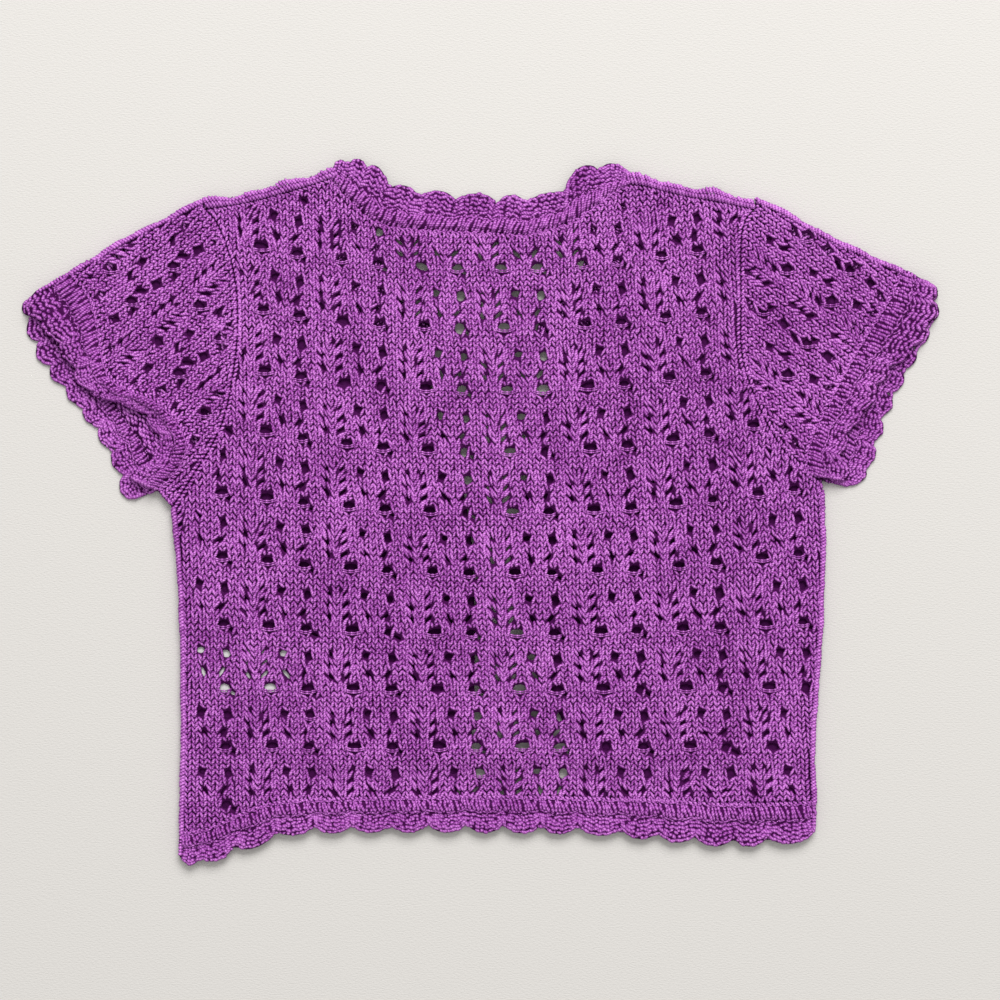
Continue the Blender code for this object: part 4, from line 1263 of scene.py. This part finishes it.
# ======== Outlines of the panels ========
def back_loop():
    """The back, between both armholes, the neck and the hem."""
    return joined(
        evenly(BACK_HEM),
        evenly(SIDES["right"])[::-1],
        evenly(ARMHOLES["right"])[::-1],
        evenly(SHOULDERS["right"]),
        evenly(BACK_NECK)[::-1],
        evenly(SHOULDERS["left"])[::-1],
        evenly(ARMHOLES["left"]),
        evenly(SIDES["left"]),
    )


def front_hem(side):
    """The hem's seam from a front's edge out to its side."""
    edge = FRONT_EDGES[side][0]
    if side == "left":
        return [edge] + [point for point in BACK_HEM if point[0] < edge[0] - HEM_START][::-1]
    return [edge] + [point for point in BACK_HEM if point[0] > edge[0] + HEM_START]


def front_hem_brim(side):
    """A front hem's brim, over the same run as its seam and a little shorter than the back's."""
    seam = front_hem(side)
    reach = along(dense_curve(BACK_HEM_BRIM), np.linspace(0, 1, BRIM_POINTS))
    inner, outer = sorted((seam[0][0], seam[-1][0]))
    kept = reach[(reach[:, 0] > inner) & (reach[:, 0] < outer)]
    if side == "right":
        kept = np.vstack(((seam[0][0], kept[0, 1]), kept))
    else:
        kept = np.vstack((kept, (seam[0][0], kept[-1, 1])))[::-1]
    return kept + (0, SCALLOP_INSET)


def front_loop(side):
    """A front with its lap over the shoulder, and the fold of that lap."""
    neck = evenly(FRONT_NECKS[side])
    shoulder = evenly(SHOULDERS[side])
    shoulder = shoulder[np.argsort(shoulder[:, 0])]
    inner = neck[-1, 0]
    if side == "left":
        shoulder = shoulder[shoulder[:, 0] < inner - SEAM_GAP]
        last = shoulder[-1] + (inner - shoulder[-1, 0]) * np.array((1.0, NECK_SLOPES[side]))
        shoulder = np.vstack((shoulder, last))
    else:
        shoulder = shoulder[shoulder[:, 0] > inner + SEAM_GAP]
        last = shoulder[0] - (shoulder[0, 0] - inner) * np.array((1.0, NECK_SLOPES[side]))
        shoulder = np.vstack((last, shoulder))
    fold = shoulder + (0, SHOULDER_LAP - FOLD_OUTER)
    neck[-1] = fold[-1] if side == "left" else fold[0]
    lap = fold + (0, LAP_LENGTH)
    hem = evenly(front_hem(side))
    edge = evenly(FRONT_EDGES[side])
    armhole = evenly(ARMHOLES[side])
    flank = evenly(SIDES[side])
    if side == "left":
        return joined(hem[::-1], edge, neck, lap[::-1], armhole, flank), fold
    return joined(hem, flank[::-1], armhole[::-1], lap[::-1], neck[::-1], edge[::-1]), fold


def sleeve_loop(side, half):
    """The back or the front half of a sleeve."""
    return joined(
        evenly(ARMHOLES[side])[::-1],
        evenly(SLEEVE_TOPS[side]),
        evenly(CUFF_SEAMS[side, half]),
        np.array(UNDERARMS[side, half]),
    )


# ======== Operators ========
class CardiganStep:
    """What the cardigan's operators share."""

    bl_options = {"REGISTER", "UNDO"}


class OBJECT_OT_cardigan_back(CardiganStep, bpy.types.Operator):
    """Knit the back"""

    bl_idname = "object.cardigan_back"
    bl_label = "Back"

    def execute(self, context):
        knit_panel(
            "back",
            shrunk(back_loop(), SEAM_GAP / 2),
            on_top,
            body_lattice,
            (-5, 5),
            (-2, 10),
            seed=11,
            bands=3,
            flower_shift=0.5,
            is_body=True,
            rims=[
                (dense_curve(SIDES["left"]), FOLDED_EDGE, 0.1),
                (dense_curve(SIDES["right"])[::-1], FOLDED_EDGE, 0.1),
            ],
        )
        return {"FINISHED"}


class OBJECT_OT_cardigan_fronts(CardiganStep, bpy.types.Operator):
    """Knit both fronts, which turn over the shoulders"""

    bl_idname = "object.cardigan_fronts"
    bl_label = "Fronts"

    def execute(self, context):
        for seed, side in enumerate(("left", "right")):
            loop, fold = front_loop(side)
            inset = np.zeros(fold.shape)
            inset[0, 0], inset[-1, 0] = SEAM_GAP / 2, -SEAM_GAP / 2
            rises = math.pi * FOLD_MIDDLE * np.arange(FOLD_STEPS + 1) / FOLD_STEPS
            knit_panel(
                "front_" + side,
                shrunk(loop, SEAM_GAP / 2),
                over_shoulder(fold),
                front_lattice,
                (-5, 5),
                (-2, 10),
                seed=21 + seed,
                flower_shift=0.5,
                creases=[fold + inset + (0, rise) for rise in rises],
                form=PLAIN_FORM,
                rims=[(longer(fold[::-1], ROLL_PAST), SHOULDER_ROLL, 0.3)],
            )
        return {"FINISHED"}


class OBJECT_OT_cardigan_sleeves(CardiganStep, bpy.types.Operator):
    """Knit both halves of both sleeves"""

    bl_idname = "object.cardigan_sleeves"
    bl_label = "Sleeves"

    def execute(self, context):
        for seed, (side, half) in enumerate(CUFF_SEAMS):
            is_back = half == "back"
            top = dense_curve(SLEEVE_TOPS[side])
            top = top if side == "left" else top[::-1]
            knit_panel(
                f"sleeve_{side}_{half}",
                shrunk(sleeve_loop(side, half), SEAM_GAP / 2),
                on_top if is_back else on_floor,
                sleeve_lattice(side, (0, 0) if is_back else SLEEVE_SHIFT),
                (-3, 4),
                (-2, 4),
                seed=31 + seed,
                cover=None if is_back else sleeve_loop(side, "back"),
                form=None if is_back else PLAIN_FORM,
                rims=[(top, FOLDED_EDGE, 0.25)] if is_back else (),
            )
        return {"FINISHED"}


class OBJECT_OT_cardigan_edgings(CardiganStep, bpy.types.Operator):
    """Crochet the edgings of the neck, the hem and the cuffs"""

    bl_idname = "object.cardigan_edgings"
    bl_label = "Edgings"

    def execute(self, context):
        valleys = SCALLOP_VALLEYS
        edgings = {
            "neck_edging_back": Edging(BACK_NECK, BACK_NECK_BRIM, valleys["neck_back"], True, neck_droop),
            "hem_edging_back": Edging(BACK_HEM, BACK_HEM_BRIM, valleys["hem_back"], True),
        }
        for side in ("left", "right"):
            neck = Edging(FRONT_NECKS[side], FRONT_NECK_BRIMS[side], SCALLOPS["neck_front"], False)
            edgings["neck_edging_front_" + side] = neck
            hem = Edging(front_hem(side), front_hem_brim(side), SCALLOPS["hem_front"], False)
            edgings["hem_edging_front_" + side] = hem
        for (side, half), seam in CUFF_SEAMS.items():
            cuff = Edging(seam, CUFF_BRIMS[side, half], SCALLOPS["cuff"], half == "back")
            edgings[f"cuff_edging_{side}_{half}"] = cuff
        for seed, (node, edging) in enumerate(edgings.items()):
            is_cuff = "cuff" in node
            lies_on = node.replace("_back", "_front") + "_ground" if is_cuff and edging.is_top else "floor"
            form = {} if edging.is_top or is_cuff else PLAIN_FORM
            crochet_edging(node, edging, 51 + seed, form)
        return {"FINISHED"}


class OBJECT_OT_cardigan_label(CardiganStep, bpy.types.Operator):
    """Make the blank care label between the layers"""

    bl_idname = "object.cardigan_label"
    bl_label = "Care label"

    def execute(self, context):
        make_label()
        return {"FINISHED"}


def make_label():
    """A thin woven tape, blank, with a slight wave."""
    colours = bpy.context.scene.cardigan_colours
    tape = bmesh.new()
    bmesh.ops.create_grid(tape, x_segments=LABEL_STEPS[0], y_segments=LABEL_STEPS[1], size=0.5)
    bmesh.ops.scale(tape, vec=(LABEL_SIZE[0], LABEL_SIZE[1], 1), verts=tape.verts)
    bmesh.ops.translate(tape, vec=(LABEL_CENTRE[0], LABEL_CENTRE[1], 0), verts=tape.verts)

    def place(points, depth):
        x, y = points[:, 0], points[:, 1]
        wave = LABEL_WAVE * np.sin(x / LABEL_WAVE_LENGTHS[0]) * np.cos(y / LABEL_WAVE_LENGTHS[1])
        return np.stack((x, y, LABEL_CENTRE[2] + LABEL_SIZE[2] / 2 - depth + wave), -1)

    mesh = close_wall(tape, place, 0.0, LABEL_SIZE[2])
    finish = Finish("label_tape")
    threads = finish.noise(1800.0, 1.0)
    finish.set(Base_Color=finish.mix(rgba(scaled(colours.label, 0.9)), rgba(colours.label), threads))
    finish.set(Roughness=0.4 + threads * 0.15, Sheen_Weight=0.2)
    finish.bump(threads, 0.0002, 0.4)
    label = new_piece("label", mesh, finish.material)
    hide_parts("care_label")


class OBJECT_OT_cardigan_stage(CardiganStep, bpy.types.Operator):
    """Set the pale ground, the soft light and the camera"""

    bl_idname = "object.cardigan_stage"
    bl_label = "Stage"

    def execute(self, context):
        make_floor()
        make_lights()
        make_camera()
        return {"FINISHED"}


def make_floor():
    """A wide pale cloth that the garment lies on."""
    colours = bpy.context.scene.cardigan_colours
    made = bmesh.new()
    bmesh.ops.create_grid(made, x_segments=1, y_segments=1, size=FLOOR_HALF)
    bmesh.ops.translate(made, vec=(0, 0, -FLOOR_DROP), verts=made.verts)
    mesh = bpy.data.meshes.new("floor")
    made.to_mesh(mesh)
    made.free()
    finish = Finish("pale_cloth")
    weave = finish.node("ShaderNodeVectorMath", {"operation": "MULTIPLY"}, {0: finish.places(), 1: WEAVE})
    threads = finish.node("ShaderNodeTexNoise", {}, {"Vector": weave, "Scale": 1.0, "Detail": 2.0})
    nap = threads * 0.6 + finish.noise(900.0, 3.0) * 0.4
    pale = rgba(colours.floor)
    finish.set(Base_Color=finish.mix(rgba(scaled(colours.floor, 0.94)), pale, nap), Roughness=0.95)
    finish.bump(nap, 0.0009, 0.5)
    mesh.materials.append(finish.material)
    floor = bpy.data.objects.new("floor", mesh)
    bpy.context.scene.collection.objects.link(floor)


def make_lights():
    """A broad window light from the neck's side and the light of a pale room."""
    light = bpy.data.lights.new("window", "AREA")
    light.shape = "RECTANGLE"
    light.size, light.size_y = WINDOW_SIZE
    light.energy = WINDOW_POWER
    light.color = WINDOW_TINT
    lamp = bpy.data.objects.new("window", light)
    lamp.location = WINDOW_PLACE
    lamp.rotation_mode = "QUATERNION"
    lamp.rotation_quaternion = (Vector((0, 0, 0)) - lamp.location).to_track_quat("-Z", "Y")
    bpy.context.scene.collection.objects.link(lamp)
    world = bpy.data.worlds.new("room")
    world.use_nodes = True
    backdrop = world.node_tree.nodes["Background"]
    backdrop.inputs["Color"].default_value = rgba(ROOM_TINT)
    backdrop.inputs["Strength"].default_value = ROOM_LIGHT
    bpy.context.scene.world = world
    bpy.context.scene.view_settings.view_transform = "Standard"


def make_camera():
    """A camera straight above, which takes the picture's width in."""
    camera = bpy.data.cameras.new("camera")
    camera.sensor_width = SENSOR
    camera.lens = SENSOR * CAMERA_HEIGHT / PICTURE_WIDTH
    holder = bpy.data.objects.new("camera", camera)
    middle = Vector(PICTURE_MIDDLE)
    holder.location = middle + Vector((0, 0, CAMERA_HEIGHT))
    bpy.context.scene.collection.objects.link(holder)
    bpy.context.scene.camera = holder


# ======== Sizes and colours ========
class CardiganSizes(bpy.types.PropertyGroup):
    """The gauge of the knitting."""

    wales: bpy.props.IntProperty(name="Wales", description="Wales in one repeat of the lace", default=11)
    courses: bpy.props.IntProperty(name="Courses", description="Courses in one repeat", default=11)
    yarn: bpy.props.FloatProperty(
        name="Yarn", description="Thickness of the yarn", default=0.00225, unit="LENGTH", precision=4
    )


class CardiganColours(bpy.types.PropertyGroup):
    """The colours of the cotton with its painted highlight and painted shade, and of the ground."""

    yarn: bpy.props.FloatVectorProperty(
        name="Yarn", description="The cotton's colour", default=(0.37, 0.064, 0.43), subtype="COLOR"
    )
    # The painted highlight on the cotton's crests
    yarn_light: bpy.props.FloatVectorProperty(
        name="Crests",
        description="The cotton where it catches light",
        default=(0.88, 0.31, 0.97),
        subtype="COLOR",
    )
    # The painted shade where the cotton tucks under, which also colours the ground shell
    yarn_shade: bpy.props.FloatVectorProperty(
        name="Depths",
        description="The cotton where it tucks under",
        default=(0.085, 0.003, 0.095),
        subtype="COLOR",
    )
    label: bpy.props.FloatVectorProperty(
        name="Label", description="The care label's tape", default=(0.90, 0.90, 0.90), subtype="COLOR"
    )
    floor: bpy.props.FloatVectorProperty(
        name="Ground", description="The pale cloth underneath", default=(0.80, 0.785, 0.76), subtype="COLOR"
    )


STEPS = (
    OBJECT_OT_cardigan_stage,
    OBJECT_OT_cardigan_fronts,
    OBJECT_OT_cardigan_back,
    OBJECT_OT_cardigan_sleeves,
    OBJECT_OT_cardigan_edgings,
    OBJECT_OT_cardigan_label,
)


class VIEW3D_PT_cardigan(bpy.types.Panel):
    """The cardigan's pieces"""

    bl_label = "Cardigan"
    bl_space_type = "VIEW_3D"
    bl_region_type = "UI"
    bl_category = TAB

    def draw(self, context):
        layout = self.layout
        for group in (context.scene.cardigan_sizes, context.scene.cardigan_colours):
            for name in type(group).__annotations__:
                layout.prop(group, name)
        for step in STEPS:
            layout.operator(step.bl_idname)


CLASSES = (CardiganSizes, CardiganColours, *STEPS, VIEW3D_PT_cardigan)


def register():
    for entry in CLASSES:
        bpy.utils.register_class(entry)
    bpy.types.Scene.cardigan_sizes = bpy.props.PointerProperty(type=CardiganSizes)
    bpy.types.Scene.cardigan_colours = bpy.props.PointerProperty(type=CardiganColours)


def unregister():
    del bpy.types.Scene.cardigan_sizes
    del bpy.types.Scene.cardigan_colours
    for entry in reversed(CLASSES):
        bpy.utils.unregister_class(entry)


def main():
    """Make the whole cardigan."""
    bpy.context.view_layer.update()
    register()
    for step in STEPS:
        group, name = step.bl_idname.split(".")
        getattr(getattr(bpy.ops, group), name)()


if __name__ == "__main__":
    main()
